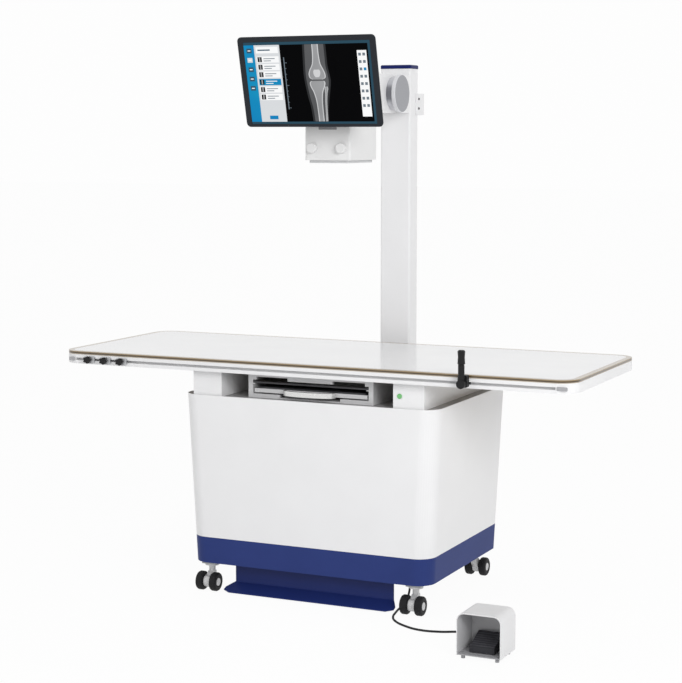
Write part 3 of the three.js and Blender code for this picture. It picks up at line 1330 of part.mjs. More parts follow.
function footswitchCord() {
  const route = new THREE.CatmullRomCurve3(cordRoute, false, 'centripetal');
  const section = new THREE.Shape();
  section.absarc(0, 0, cordRadius, 0, 2 * Math.PI);
  const points = section.getSpacedPoints(CORD_SIDES).slice(0, CORD_SIDES);
  const ring = new THREE.Shape(points);
  return closed(new THREE.ExtrudeGeometry(ring, { steps: CORD_STEPS, extrudePath: route }));
}
add(table, 'footswitch_cord', footswitchCord(), BLACK, 0.6);

export default radiographyTable;
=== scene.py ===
"""Looks of the radiography table: materials, small trim, cord, screen picture, floor, lamps and camera."""
import json
import math

import bpy
from mathutils import Matrix, Vector


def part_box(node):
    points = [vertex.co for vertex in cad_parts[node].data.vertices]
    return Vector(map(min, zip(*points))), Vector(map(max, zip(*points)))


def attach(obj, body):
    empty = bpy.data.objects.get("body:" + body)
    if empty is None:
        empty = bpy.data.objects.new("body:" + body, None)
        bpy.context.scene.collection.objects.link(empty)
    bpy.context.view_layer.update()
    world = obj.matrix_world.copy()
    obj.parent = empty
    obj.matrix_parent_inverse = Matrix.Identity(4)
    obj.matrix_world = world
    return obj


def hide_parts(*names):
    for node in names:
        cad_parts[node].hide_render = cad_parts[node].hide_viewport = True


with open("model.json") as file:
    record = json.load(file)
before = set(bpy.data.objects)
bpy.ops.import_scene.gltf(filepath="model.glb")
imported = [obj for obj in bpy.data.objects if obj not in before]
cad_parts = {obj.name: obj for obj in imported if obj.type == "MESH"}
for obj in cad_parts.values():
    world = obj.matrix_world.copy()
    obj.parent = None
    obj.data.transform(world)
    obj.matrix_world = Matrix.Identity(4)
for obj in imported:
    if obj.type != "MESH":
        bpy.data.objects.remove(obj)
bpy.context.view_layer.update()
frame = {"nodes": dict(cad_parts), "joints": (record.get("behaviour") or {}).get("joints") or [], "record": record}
scene = bpy.context.scene
MM = 0.001                 # plain lengths below are in millimetres, those times MM in metres

# Camera, solved from the photograph's vanishing lines
PHOTO_HEIGHT = 683
FOCAL_PIXELS = 1793.6
SENSOR = 36.0
CAMERA_PLACE = (2.4894, -5.3116, 1.5148)
CAMERA_PITCH = math.radians(90 - 6.69168)
CAMERA_YAW = math.radians(24.96441)


def add_camera():
    data = bpy.data.cameras.new("photo_camera")
    data.sensor_width = SENSOR
    data.sensor_height = SENSOR
    data.lens = FOCAL_PIXELS / PHOTO_HEIGHT * SENSOR
    data.clip_end = 100
    camera = bpy.data.objects.new("photo_camera", data)
    camera.location = CAMERA_PLACE
    camera.rotation_euler = (CAMERA_PITCH, 0, CAMERA_YAW)
    scene.collection.objects.link(camera)
    scene.camera = camera


add_camera()

# Material helpers


def tone(red, green, blue):
    """Linear colour from a display colour of 0 to 255."""
    def linear(value):
        share = value / 255
        return share / 12.92 if share <= 0.04045 else ((share + 0.055) / 1.055) ** 2.4
    return (linear(red), linear(green), linear(blue), 1.0)


def scaled(colour, factor):
    return tuple(min(1.0, channel * factor) for channel in colour[:3]) + (1.0,)


class Look:
    """A node material being built around one Principled shader."""

    def __init__(self, name, roughness=0.5, metallic=0.0):
        self.material = bpy.data.materials.new(name)
        self.material.use_nodes = True
        self.nodes = self.material.node_tree.nodes
        self.links = self.material.node_tree.links
        self.shader = self.nodes["Principled BSDF"]
        self.shader.inputs["Roughness"].default_value = roughness
        self.shader.inputs["Metallic"].default_value = metallic
        self.place = self.nodes.new("ShaderNodeTexCoord").outputs["Object"]

    def node(self, kind, **values):
        made = self.nodes.new(kind)
        for key, value in values.items():
            setattr(made, key, value)
        return made

    def link(self, source, target):
        self.links.new(source, target)

    def noise(self, scale, detail=3.0, stretch=(1, 1, 1)):
        """Noise of the given number of features per metre, 0 to 1."""
        place = self.place
        if stretch != (1, 1, 1):
            mapping = self.node("ShaderNodeMapping")
            mapping.inputs["Scale"].default_value = stretch
            self.link(self.place, mapping.inputs["Vector"])
            place = mapping.outputs["Vector"]
        texture = self.node("ShaderNodeTexNoise")
        texture.inputs["Scale"].default_value = scale
        texture.inputs["Detail"].default_value = detail
        self.link(place, texture.inputs["Vector"])
        return texture.outputs["Fac"]

    def ramp(self, factor, stops):
        """Colour from a factor, by (position, colour) stops."""
        made = self.node("ShaderNodeValToRGB")
        elements = made.color_ramp.elements
        while len(elements) < len(stops):
            elements.new(0.5)
        for element, (position, colour) in zip(elements, stops):
            element.position = position
            element.color = colour
        self.link(factor, made.inputs["Fac"])
        return made.outputs["Color"]

    def mottled(self, factor, first, second):
        """Soft patches of two colours."""
        return self.ramp(factor, [(0.3, first), (0.7, second)])

    def math(self, operation, first, second):
        """Math node on two sockets or numbers; one-sided operations ignore the second."""
        made = self.node("ShaderNodeMath", operation=operation)
        for socket, value in zip(made.inputs, (first, second)):
            if isinstance(value, (int, float)):
                socket.default_value = value
            else:
                self.link(value, socket)
        return made.outputs["Value"]

    def height(self, axis):
        """Place along one axis, in metres."""
        split = self.node("ShaderNodeSeparateXYZ")
        self.link(self.place, split.inputs["Vector"])
        return split.outputs[axis]

    def facing(self, axis):
        """How far the surface looks along one axis, -1 to 1."""
        split = self.node("ShaderNodeSeparateXYZ")
        self.link(self.node("ShaderNodeNewGeometry").outputs["Normal"], split.inputs["Vector"])
        return split.outputs[axis]

    def mix(self, factor, first, second):
        made = self.node("ShaderNodeMix", data_type="RGBA")
        self.link(factor, made.inputs["Factor"])
        for socket, value in ((made.inputs[6], first), (made.inputs[7], second)):
            if isinstance(value, tuple):
                socket.default_value = value
            else:
                self.link(value, socket)
        return made.outputs[2]

    def colour(self, source):
        self.link(source, self.shader.inputs["Base Color"])

    def rough(self, factor, low, high):
        """Roughness between two levels, by a factor."""
        made = self.node("ShaderNodeMapRange")
        made.inputs["To Min"].default_value = low
        made.inputs["To Max"].default_value = high
        self.link(factor, made.inputs["Value"])
        self.link(made.outputs["Result"], self.shader.inputs["Roughness"])

    def bump(self, factor, strength, depth):
        made = self.node("ShaderNodeBump")
        made.inputs["Strength"].default_value = strength
        made.inputs["Distance"].default_value = depth
        self.link(factor, made.inputs["Height"])
        self.link(made.outputs["Normal"], self.shader.inputs["Normal"])

    def set(self, **values):
        """Sets shader sockets, named with underscores for spaces."""
        for key, value in values.items():
            self.shader.inputs[key.replace("_", " ")].default_value = value
        return self


PATCHES = (6, 4)           # scale and detail of the mottling in paint and plastic
PEEL_DEPTH = 0.4 * MM
GRAIN_DEPTH = 0.3 * MM
POLISH_DEPTH = 0.2 * MM
RIB_DEPTH = 1.2 * MM


def coated(name, colour, roughness=0.4, mottle=0.03, grain=900, bump=0.05, metallic=0.0, sheen=0.5):
    """Paint, plastic or rubber with faint mottling, a fine orange-peel grain and uneven gloss."""
    look = Look(name, roughness, metallic)
    look.set(Specular_IOR_Level=sheen)
    look.colour(look.mottled(look.noise(*PATCHES), scaled(colour, 1 - mottle), scaled(colour, 1 + mottle)))
    fine = look.noise(grain, 2)
    look.rough(fine, roughness - 0.05, roughness + 0.07)
    look.bump(fine, bump, PEEL_DEPTH)
    return look


def brushed(name, colour, roughness=0.32, along=(1, 60, 60), metallic=0.9):
    """Metal with a drawn grain along one direction."""
    look = Look(name, roughness, metallic)
    grain = look.noise(40, 4, along)
    look.colour(look.mottled(grain, scaled(colour, 0.88), scaled(colour, 1.08)))
    look.rough(grain, roughness - 0.08, roughness + 0.1)
    look.bump(grain, 0.08, GRAIN_DEPTH)
    return look


# Materials

WHITE = tone(238, 238, 239)
BOARD_CORNER = 65 * MM
BORDER = 19 * MM           # width of the tan frame on the board's face
BORDER_LINE = 4 * MM       # width of the darker line inside that frame
HUB_RIM = 14.2 * MM


def board_laminate():
    """White laminate in a tan frame with a darker inner line, and an edge with a dark middle ply."""
    low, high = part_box("tabletop_board")
    look = Look("board_laminate", 0.16)
    edge_place = look.node("ShaderNodeMapRange")
    edge_place.inputs["From Min"].default_value = low.z
    edge_place.inputs["From Max"].default_value = high.z
    look.link(look.height("Z"), edge_place.inputs["Value"])
    dark, tan, gold = tone(62, 50, 36), tone(184, 170, 148), tone(150, 128, 94)
    band = look.ramp(edge_place.outputs["Result"], [
        (0.0, tan), (0.18, tan), (0.28, dark), (0.62, dark), (0.72, gold), (1.0, gold),
    ])
    grain = look.noise(60, 4, (1, 1, 40))
    wood = look.mix(look.math("MULTIPLY", grain, 0.3), band, tone(120, 100, 74))
    middle, half = (low + high) / 2, (high - low) / 2
    reach = []
    for axis, centre, extent in (("X", middle.x, half.x), ("Y", middle.y, half.y)):
        offset = look.math("ABSOLUTE", look.math("SUBTRACT", look.height(axis), centre), 0)
        beyond = look.math("MAXIMUM", look.math("SUBTRACT", offset, extent - BOARD_CORNER), 0)
        reach.append(look.math("POWER", beyond, 2))
    from_corner = look.math("SQRT", look.math("ADD", *reach), 0)
    framed = look.math("GREATER_THAN", from_corner, BOARD_CORNER - BORDER)
    pale = look.math("GREATER_THAN", from_corner, BOARD_CORNER - BORDER + BORDER_LINE)
    faint = look.mottled(look.noise(3, 3), tone(238, 238, 240), tone(245, 245, 246))
    border = look.mottled(look.noise(40, 4), tone(154, 136, 106), tone(164, 146, 116))
    top = look.mix(framed, faint, look.mix(pale, tone(140, 116, 80), border))
    flat = look.math("GREATER_THAN", look.facing("Z"), 0.6)
    look.colour(look.mix(flat, wood, top))
    look.bump(look.noise(300, 2), 0.015, POLISH_DEPTH)
    look.set(Coat_Weight=0.3, Coat_Roughness=0.08)
    return look.material


def turned_disc():
    """Turned aluminium: a greyer face with rings, a pale rim, and a hub with painted shade along its middle."""
    low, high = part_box("hub_disc")
    centre = (low + high) / 2
    look = Look("turned_disc", 0.38, 0.45)
    mapping = look.node("ShaderNodeMapping")
    mapping.inputs["Location"].default_value = -centre
    look.link(look.place, mapping.inputs["Vector"])
    rings = look.node("ShaderNodeTexWave", wave_type="RINGS", rings_direction="X")
    rings.inputs["Scale"].default_value = 260
    rings.inputs["Distortion"].default_value = 1.5
    look.link(mapping.outputs["Vector"], rings.inputs["Vector"])
    ring = rings.outputs["Fac"]
    face = look.ramp(ring, [(0.0, tone(150, 151, 156)), (1.0, tone(164, 165, 170))])
    grain = look.noise(70, 3, (40, 1, 1))
    rim = look.mottled(grain, tone(214, 215, 218), tone(228, 229, 232))
    # Painted shade on the hub's side behind the rim: dark along its middle, lighter towards its top and bottom
    from_axis = look.math("ABSOLUTE", look.math("SUBTRACT", look.height("Z"), centre.z), 0)
    band = look.math("DIVIDE", from_axis, high.z - centre.z)
    boss_painted_shade = look.ramp(band, [
        (0.0, tone(118, 119, 125)),
        (0.28, tone(126, 127, 133)),
        (0.5, tone(190, 191, 196)),
        (1.0, tone(214, 215, 219)),
    ])
    behind_rim = look.math("LESS_THAN", look.height("X"), high.x - HUB_RIM)
    outward = look.math("GREATER_THAN", look.facing("X"), 0.8)
    look.colour(look.mix(outward, look.mix(behind_rim, rim, boss_painted_shade), face))
    look.rough(ring, 0.32, 0.44)
    look.bump(ring, 0.05, POLISH_DEPTH)
    return look.material


def ribbed_rubber():
    """Dark pedal rubber with anti-slip ribs across the tread."""
    look = Look("ribbed_rubber", 0.6)
    look.set(Specular_IOR_Level=0.25)
    ribs = look.node("ShaderNodeTexWave", wave_type="BANDS", bands_direction="Y", wave_profile="SIN")
    ribs.inputs["Scale"].default_value = 32
    look.link(look.place, ribs.inputs["Vector"])
    rib = ribs.outputs["Fac"]
    upward = look.math("GREATER_THAN", look.facing("Z"), 0.4)
    shade = look.ramp(rib, [(0.1, tone(46, 46, 50)), (0.6, tone(72, 72, 77))])
    side = look.mottled(look.noise(500, 2), tone(48, 48, 52), tone(56, 56, 60))
    look.colour(look.mix(upward, side, shade))
    look.rough(look.noise(900, 2), 0.5, 0.7)
    look.bump(look.math("MULTIPLY", rib, upward), 0.5, RIB_DEPTH)
    return look.material


def carbon_cover():
    """Detector cover of woven carbon fibre: a fine twill of two dark greys."""
    look = Look("carbon_cover", 0.35)
    look.set(Specular_IOR_Level=0.3)
    turned = look.node("ShaderNodeMapping")
    turned.inputs["Rotation"].default_value = (0, 0, math.radians(45))
    look.link(look.place, turned.inputs["Vector"])
    weave = look.node("ShaderNodeTexChecker")
    weave.inputs["Scale"].default_value = 320
    look.link(turned.outputs["Vector"], weave.inputs["Vector"])
    tow = weave.outputs["Fac"]
    look.colour(look.ramp(tow, [(0.0, tone(56, 56, 59)), (1.0, tone(72, 72, 76))]))
    look.rough(tow, 0.3, 0.42)
    look.bump(tow, 0.1, POLISH_DEPTH)
    return look.material


def hood_plastic():
    """Moulded hood, pale outside, with painted shade on the faces that look inwards."""
    low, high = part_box("footswitch_hood")
    look = Look("hood_plastic", 0.45)
    from_middle = look.node("ShaderNodeVectorMath", operation="SUBTRACT")
    from_middle.inputs[1].default_value = (low + high) / 2
    look.link(look.place, from_middle.inputs[0])
    outward = look.node("ShaderNodeVectorMath", operation="DOT_PRODUCT")
    look.link(from_middle.outputs["Vector"], outward.inputs[0])
    look.link(look.node("ShaderNodeNewGeometry").outputs["Normal"], outward.inputs[1])
    outside = look.math("GREATER_THAN", outward.outputs["Value"], 0)
    broad = look.noise(*PATCHES)
    pale = look.mottled(broad, tone(224, 224, 225), tone(229, 229, 230))
    # Painted shade: the faces that look inwards get a darker grey than the outside
    inner = look.mottled(broad, tone(194, 194, 196), tone(201, 201, 203))
    look.colour(look.mix(outside, inner, pale))
    grain = look.noise(1400, 2)
    look.rough(grain, 0.4, 0.52)
    look.bump(grain, 0.08, PEEL_DEPTH)
    return look.material


# Paint, plastic and rubber: colour, roughness, mottling, grain, bump, metallic share and gloss level
PAINTS = {
    "white_casting": (WHITE, 0.36, 0.012),
    "white_plastic": (tone(232, 232, 232), 0.45, 0.015, 1400, 0.08),
    "grey_plastic": (tone(205, 206, 207), 0.45, 0.02, 1400, 0.08),
    "grey_paint": (tone(186, 187, 190), 0.5, 0.03),
    # The next grey is painted shadow, for the bar under the monitor on the collimator's front
    "painted_shadow_grey": (tone(142, 142, 145), 0.55, 0.03, 1400, 0.08),
    "deck_paint": (tone(164, 163, 164), 0.5, 0.03),
    "plug_grey": (tone(168, 168, 171), 0.5, 0.03, 1400, 0.08),
    "base_grey": (tone(160, 160, 163), 0.5, 0.03, 1400, 0.08),
    "grey_aluminium": (tone(214, 214, 215), 0.42, 0.02, 700, 0.05, 0.1),
    "dark_metal": (tone(34, 34, 36), 0.5, 0.06, 800, 0.1, 0.0, 0.25),
    "generator_case": (tone(150, 152, 154), 0.5, 0.04),
    "navy_paint": (tone(48, 62, 119), 0.42, 0.04, 900, 0.06, 0.0, 0.08),
    "treadle_paint": (tone(32, 46, 105), 0.4, 0.05, 900, 0.06, 0.0, 0.2),
    "navy_plastic": (tone(20, 31, 92), 0.4, 0.04, 900, 0.06, 0.0, 0.15),
    "green_plastic": (tone(116, 190, 118), 0.3, 0.05, 1200, 0.03),
    "grid_face": (tone(72, 72, 75), 0.4, 0.05, 1500, 0.1, 0.0, 0.3),
    "dark_plastic": (tone(38, 41, 46), 0.42, 0.04, 1500, 0.08, 0.0, 0.15),
    "black_plastic": (tone(26, 26, 27), 0.45, 0.06, 1500, 0.1, 0.0, 0.25),
    "screen_glass": (tone(10, 11, 14), 0.12, 0.05, 300, 0.005, 0.0, 0.2),
    "wheel_rubber": (tone(30, 30, 32), 0.6, 0.08, 700, 0.2, 0.0, 0.2),
    "cord_rubber": (tone(37, 37, 39), 0.55, 0.06, 900, 0.15, 0.0, 0.25),
}
# Metal: colour, roughness, stretch of the grain and metallic share
METALS = {
    "handle_metal": (tone(224, 224, 223), 0.24, (1, 60, 60), 0.55),
    "aluminium": (tone(190, 191, 193), 0.35),
    "steel": (tone(150, 152, 154), 0.4, (40, 1, 40)),
    "caster_metal": (tone(204, 204, 205), 0.35, (30, 30, 4), 0.35),
}
MATERIALS = {name: coated(name, *values).material for name, values in PAINTS.items()}
MATERIALS.update({name: brushed(name, *values).material for name, values in METALS.items()})
CABINET_PAINT = coated("white_paint", WHITE, 0.32, 0.012).set(Coat_Weight=0.4, Coat_Roughness=0.12)
MATERIALS.update({
    "white_paint": CABINET_PAINT.material,
    "hood_plastic": hood_plastic(),
    "carbon_cover": carbon_cover(),
    "board_laminate": board_laminate(),
    "turned_disc": turned_disc(),
    "ribbed_rubber": ribbed_rubber(),
})
SLOT_OF_NODE = {entry["node"]: entry["material_slot"] for entry in frame["record"]["subparts"]}
# Nodes whose look differs from that of their slot
SPECIAL = {
    "hub_disc": "turned_disc",
    "treadle": "treadle_paint",
    "footswitch_base": "base_grey",
    "footswitch_pedal": "ribbed_rubber",
    "footswitch_hood": "hood_plastic",
    "deck_plate": "deck_paint",
    "detector_panel": "carbon_cover",
}
SOFT_EDGE = {"collimator_housing": 2.5, "tube_housing": 4.0, "footswitch_hood": 1.0}
PLAIN_EDGE = 0.8
EDGE_SEGMENTS = 2
EDGE_ANGLE = math.radians(35)


def dress_solids():
    """Gives each solid its material and a small rounded edge that catches the light."""
    for name, solid in frame["nodes"].items():
        solid.data.materials.clear()
        solid.data.materials.append(MATERIALS[SPECIAL.get(name, SLOT_OF_NODE[name])])
        if name == "footswitch_cord":
            continue
        edge = solid.modifiers.new("edge", "BEVEL")
        edge.width = SOFT_EDGE.get(name, PLAIN_EDGE) * MM
        edge.segments = EDGE_SEGMENTS
        edge.limit_method = "ANGLE"
        edge.angle_limit = EDGE_ANGLE
        edge.harden_normals = True
        edge.use_clamp_overlap = True
        solid.data.shade_smooth()


dress_solids()

# Mesh helpers


PLATE_RIM = 0.5            # widest bevel round a plate's face
SCREW_SIDES = 20


def mesh_piece(name, points, faces, material, body):
    data = bpy.data.meshes.new(name)
    data.from_pydata(points, [], faces)
    data.validate()
    data.materials.append(MATERIALS[material])
    piece = bpy.data.objects.new(name, data)
    scene.collection.objects.link(piece)
    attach(piece, body)
    return piece


def loop_faces(loops, count):
    """Faces that skin a stack of loops of count points each and close its two ends."""
    faces = [tuple(reversed(range(count))), tuple(range((loops - 1) * count, loops * count))]
    for loop in range(loops - 1):
        low, high = loop * count, (loop + 1) * count
        for step in range(count):
            after = (step + 1) % count
            faces.append((low + step, low + after, high + after, high + step))
    return faces


def smooth(piece, crease_angle=40):
    """Smooth shading that keeps the edges sharper than the angle."""
    piece.data.shade_smooth()
    crease = piece.modifiers.new("crease", "EDGE_SPLIT")
    crease.split_angle = math.radians(crease_angle)


def lathe(name, profile, centre, axis, material, body, sides=32):
    """Turned piece from (radius, height) points in millimetres, about an axis through a centre in metres."""
    turn = Vector((0, 0, 1)).rotation_difference(Vector(axis)).to_matrix()
    points = []
    for radius, height in profile:
        for step in range(sides):
            angle = 2 * math.pi * step / sides
            local = Vector((radius * math.cos(angle), radius * math.sin(angle), height)) * MM
            points.append(Vector(centre) + turn @ local)
    piece = mesh_piece(name, points, loop_faces(len(profile), sides), material, body)
    smooth(piece)
    return piece


def rounded_outline(width, height, corner, steps=5):
    """Corner-rounded rectangle about the origin as (x, z) points, anticlockwise from the front."""
    outline = []
    for sign_x, sign_z, start in ((1, 1, 0), (-1, 1, 90), (-1, -1, 180), (1, -1, 270)):
        for step in range(steps + 1):
            angle = math.radians(start + 90 * step / steps)
            outline.append((
                sign_x * (width / 2 - corner) + corner * math.cos(angle),
                sign_z * (height / 2 - corner) + corner * math.sin(angle),
            ))
    return outline


def rounded_plate(name, size, corner, place, material, body):
    """Plate with rounded corners: size is (width, height, thickness) in millimetres, place a matrix whose
    local X and Z span the face and whose local -Y is its front."""
    width, height, thick = size
    outline = rounded_outline(width, height, corner)
    rim = min(PLATE_RIM, thick / 3)
    layers = ((0.0, 0.0), (-thick + rim, 0.0), (-thick, rim))
    points = []
    for depth, inset in layers:
        for x, z in outline:
            shrink_x = 1 - 2 * inset / width
            shrink_z = 1 - 2 * inset / height
            points.append(place @ (Vector((x * shrink_x, depth, z * shrink_z)) * MM))
    return mesh_piece(name, points, loop_faces(len(layers), len(outline)), material, body)


# Cord from the footswitch's gland over the floor to the chassis gland

CORD_DIAMETER = 7 * MM
TABLE_SHIFT = 71           # the table's centre in the frame, towards the column
HOOD_X = 730.5
HOOD_NOSE = -515.7
HOOD_GLAND_Z = 24
FLOOR_GLAND_X = 300
FLOOR_GLAND_Y = -150
FLOOR_NOSE = 87.7
LIE = 3.8                  # height of the cord's centre line on the floor
SEAT = 0.3
CORD_ROUTE = [
    (HOOD_X, HOOD_NOSE + SEAT, HOOD_GLAND_Z),
    (HOOD_X, HOOD_NOSE + 10, HOOD_GLAND_Z),
    (729, -488, 17),
    (725, -464, 6),
    (712, -441, LIE),
    (689, -421, LIE),
    (655, -409, LIE),
    (612, -408, LIE),
    (568, -420, LIE),
    (521, -442, LIE),
    (459, -450, LIE),
    (400, -428, LIE),
    (346, -384, LIE),
    (323, -342, LIE),
    (313, -300, LIE),
    (306, -262, LIE),
    (302, -230, LIE),
    (300, -202, 5.5),
    (300, -176, 16),
    (FLOOR_GLAND_X, FLOOR_GLAND_Y - 7, 38),
    (FLOOR_GLAND_X, FLOOR_GLAND_Y, FLOOR_NOSE - 18),
    (FLOOR_GLAND_X, FLOOR_GLAND_Y, FLOOR_NOSE - SEAT),
]


def add_cord():
    data = bpy.data.curves.new("cord", "CURVE")
    data.dimensions = "3D"
    data.bevel_depth = CORD_DIAMETER / 2
    data.bevel_resolution = 5
    data.resolution_u = 8
    data.use_fill_caps = True
    spline = data.splines.new("BEZIER")
    spline.bezier_points.add(len(CORD_ROUTE) - 1)
    for point, (x, y, z) in zip(spline.bezier_points, CORD_ROUTE):
        point.co = Vector((x, y + TABLE_SHIFT, z)) * MM
        point.handle_left_type = "AUTO"
        point.handle_right_type = "AUTO"
    data.materials.append(MATERIALS["cord_rubber"])
    cord = bpy.data.objects.new("cord", data)
    scene.collection.objects.link(cord)
    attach(cord, "base")
    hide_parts("footswitch_cord")


add_cord()

# Caster hub caps, one on each outer wheel face

CASTERS = ("front_left", "front_right", "rear_left", "rear_right")
WHEEL_DISH = 2.5 * MM
HUB_CAP = [(13.2, 0), (13.2, 1.0), (12.2, 1.9), (7.5, 1.9), (6.9, 1.2), (3.6, 1.2), (3.2, 2.2), (0.5, 2.4)]


def add_hub_caps():
    for caster in CASTERS:
        low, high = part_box(f"{caster}_caster_wheels")
        middle = (low + high) / 2
        for name, side, x in (("left", -1, low.x), ("right", 1, high.x)):
            centre = Vector((x - side * WHEEL_DISH, middle.y, middle.z))
            cap = f"{caster}_hub_cap_{name}"
            lathe(cap, HUB_CAP, centre, (side, 0, 0), "caster_metal", f"{caster}_wheels")


add_hub_caps()

# Screws on the clamp yoke and the plugs at the ends of the rail's slot

YOKE_SCREW = [(4.2, 0), (4.2, 1.6), (3.6, 2.2), (2.0, 2.2), (1.9, 1.0), (0.3, 1.0)]
YOKE_SCREW_Y = 18.5        # behind the yoke's front
YOKE_SCREW_DROPS = (18.5, 51.5)
PLUG_HEIGHT = 12
PLUG_THICK = 1.2
PLUG_CORNER = 3
LEFT_PLUG = (15, 24)       # middle past the rail's end, and width
RIGHT_PLUG = (21, 34)


def add_yoke_screws():
    low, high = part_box("arm_clamp_yoke")
    for index, drop in enumerate(YOKE_SCREW_DROPS):
        centre = (high.x, low.y + YOKE_SCREW_Y * MM, high.z - drop * MM)
        lathe(f"yoke_screw_{index + 1}", YOKE_SCREW, centre, (1, 0, 0), "dark_metal", "base", SCREW_SIDES)


add_yoke_screws()


def add_slot_plugs():
    low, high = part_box("front_rail")
    middle_z = (low.z + high.z) / 2
    for name, side, end, (past, width) in (("right", 1, high.x, RIGHT_PLUG), ("left", -1, low.x, LEFT_PLUG)):
        place = Matrix.Translation((end + side * past * MM, low.y, middle_z))
        size = (width, PLUG_HEIGHT, PLUG_THICK)
        rounded_plate(f"{name}_slot_plug", size, PLUG_CORNER, place, "plug_grey", "top")


add_slot_plugs()

# Flat sleeve over the neck of the clamp lever

LEVER_SLEEVE = [(8.6, 12), (10.2, 14), (10.2, 28), (9.6, 29), (9.6, 31), (10.2, 32), (10.2, 57), (9.4, 59)]
SLEEVE_FLATNESS = 0.74


def pivot(name):
    """Point on the axis of a turning joint, in metres."""
    return next(joint["pos_m"] for joint in frame["joints"] if joint["name"] == name)


def add_lever_sleeve():
    low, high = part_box("clamp_lever")
    centre = Vector(pivot("lever_turn"))
    centre.y = (low.y + high.y) / 2
    sleeve = lathe("clamp_lever_sleeve", LEVER_SLEEVE, centre, (0, 0, 1), "black_plastic", "lever")
    for vertex in sleeve.data.vertices:
        vertex.co.y = centre.y + (vertex.co.y - centre.y) * SLEEVE_FLATNESS


add_lever_sleeve()

# Collimator front: a grey bar of painted shadow under the monitor, above a thin raised front plate

SHADOW_BAR = (65, 9, 0.8)
SHADOW_BAR_CORNER = 2
SHADOW_BAR_X = 1.5
SHADOW_BAR_DROP = 22
FRONT_PLATE = (138, 92, 0.6)
FRONT_PLATE_CORNER = 5
FRONT_PLATE_RISE = 60


def add_collimator_trim():
    low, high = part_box("collimator_housing")
    # Grey bar of painted shadow where the monitor shades the collimator's front
    place = Matrix.Translation((SHADOW_BAR_X * MM, low.y, high.z - SHADOW_BAR_DROP * MM))
    rounded_plate("collimator_painted_shadow", SHADOW_BAR, SHADOW_BAR_CORNER, place, "painted_shadow_grey", "head")
    place = Matrix.Translation((0, low.y, low.z + FRONT_PLATE_RISE * MM))
    rounded_plate("collimator_front", FRONT_PLATE, FRONT_PLATE_CORNER, place, "white_plastic", "head")


add_collimator_trim()

# Service panels with louvres on the cabinet's rear wall, one on each side of the column

WALL_LEAN = math.radians(1.08)
REAR_PANEL = (236, 292, 1.6)
REAR_PANEL_CORNER = 12
REAR_PANEL_SINK = 0.2
REAR_PANEL_X = 212
REAR_PANEL_Z = 424
LOUVRES = 8
LOUVRE = (168, 5, 0.7)
LOUVRE_CORNER = 2.4
LOUVRE_PITCH = 15
LOUVRE_DROP = 40           # from the panel's upper edge to the first louvre
TRIM_SINK = 0.4            # of louvres and screws in the panel's face
REAR_SCREW = [(5.0, 0), (5.0, 1.2), (4.2, 1.9), (2.2, 1.9), (2.0, 0.9), (0.3, 0.9)]
REAR_SCREW_INSET = 14
CORNERS = ((-1, -1), (1, -1), (-1, 1), (1, 1))


def on_rear_wall(x, z, lift):
    """Place on the leaning rear wall at x and z millimetres, lifted off it; its front looks to the rear."""
    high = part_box("cabinet_shell")[1]
    y = high.y - (high.z - z * MM) * math.tan(WALL_LEAN) + lift * MM
    turn = Matrix.Rotation(math.pi, 4, "Z") @ Matrix.Rotation(WALL_LEAN, 4, "X")
    return Matrix.Translation((x * MM, y, z * MM)) @ turn


def add_rear_panels():
    width, height, thick = REAR_PANEL
    face = thick - TRIM_SINK
    for name, x in (("left", -REAR_PANEL_X), ("right", REAR_PANEL_X)):
        place = on_rear_wall(x, REAR_PANEL_Z, -REAR_PANEL_SINK)
        rounded_plate(f"rear_panel_{name}", REAR_PANEL, REAR_PANEL_CORNER, place, "white_casting", "base")
        for row in range(LOUVRES):
            place = on_rear_wall(x, REAR_PANEL_Z + height / 2 - LOUVRE_DROP - row * LOUVRE_PITCH, face)
            louvre = f"rear_louvre_{name}_{row + 1}"
            rounded_plate(louvre, LOUVRE, LOUVRE_CORNER, place, "dark_metal", "base")
        for index, (side, rise) in enumerate(CORNERS):
            screw_x = x + side * (width / 2 - REAR_SCREW_INSET)
            screw_z = REAR_PANEL_Z + rise * (height / 2 - REAR_SCREW_INSET)
            place = on_rear_wall(screw_x, screw_z, face)
            outward = place.to_3x3() @ Vector((0, -1, 0))
            screw = f"rear_screw_{name}_{index + 1}"
            lathe(screw, REAR_SCREW, place.translation, outward, "aluminium", "base", SCREW_SIDES)


add_rear_panels()

# Monitor in its own frame: origin on the hinge axis, y towards the rear, tilted down

TILT = math.radians(13.7)
MONITOR_AXIS = pivot("monitor_tilt")
MONITOR_PLACE = Matrix.Translation(MONITOR_AXIS) @ Matrix.Rotation(TILT, 4, "X")
SCREEN_FACE = -39.5        # just before the pane
SCREEN_HALF_X = 219
SCREEN_LOW = -134.8
SCREEN_HIGH = 127.5


def on_monitor(x, y, z):
    """Point of the frame from a point of the monitor in millimetres."""
    return MONITOR_PLACE @ (Vector((x, y, z)) * MM)


# Shell with a bevelled back, an opening for the screen, two hinge ears, the hinge pin and vents

SHELL_WIDTH = 479
SHELL_HEIGHT = 290
SHELL_CORNER = 14
SHELL_LEAST_CORNER = 4
SHELL_CREASE = 30
SHELL_BACK = -14.0
SHELL_FRONT = -40.0
# (depth, inset) of each loop of points, from the back to the bezel
SHELL_LOOPS = [
    (SHELL_BACK, 18.0), (-15.2, 15.5), (-34.0, 1.6), (-36.0, 0.4), (-39.2, 0.0), (SHELL_FRONT, 0.8),
]
OPENING_WIDTH = 2 * SCREEN_HALF_X + 1
OPENING_LOW = -135.2
OPENING_HIGH = 128
OPENING_CORNER = 2
OPENING_FLOOR = -37.8
EAR_RADIUS = 11
EAR_ROOT = -16
EAR_INNER = 40.5
EAR_OUTER = 54.5
EAR_STEPS = 10
MONITOR_PIN = [(4.6, -42), (5.5, -41.1), (5.5, 41.1), (4.6, 42)]
PIN_SIDES = 24
VENT = (104, 4, 1.0)
VENT_CORNER = 1.9
VENT_SINK = 0.2
VENT_ROWS = 9
VENT_PITCH = 9
VENT_X = 148
VENT_TOP = 108


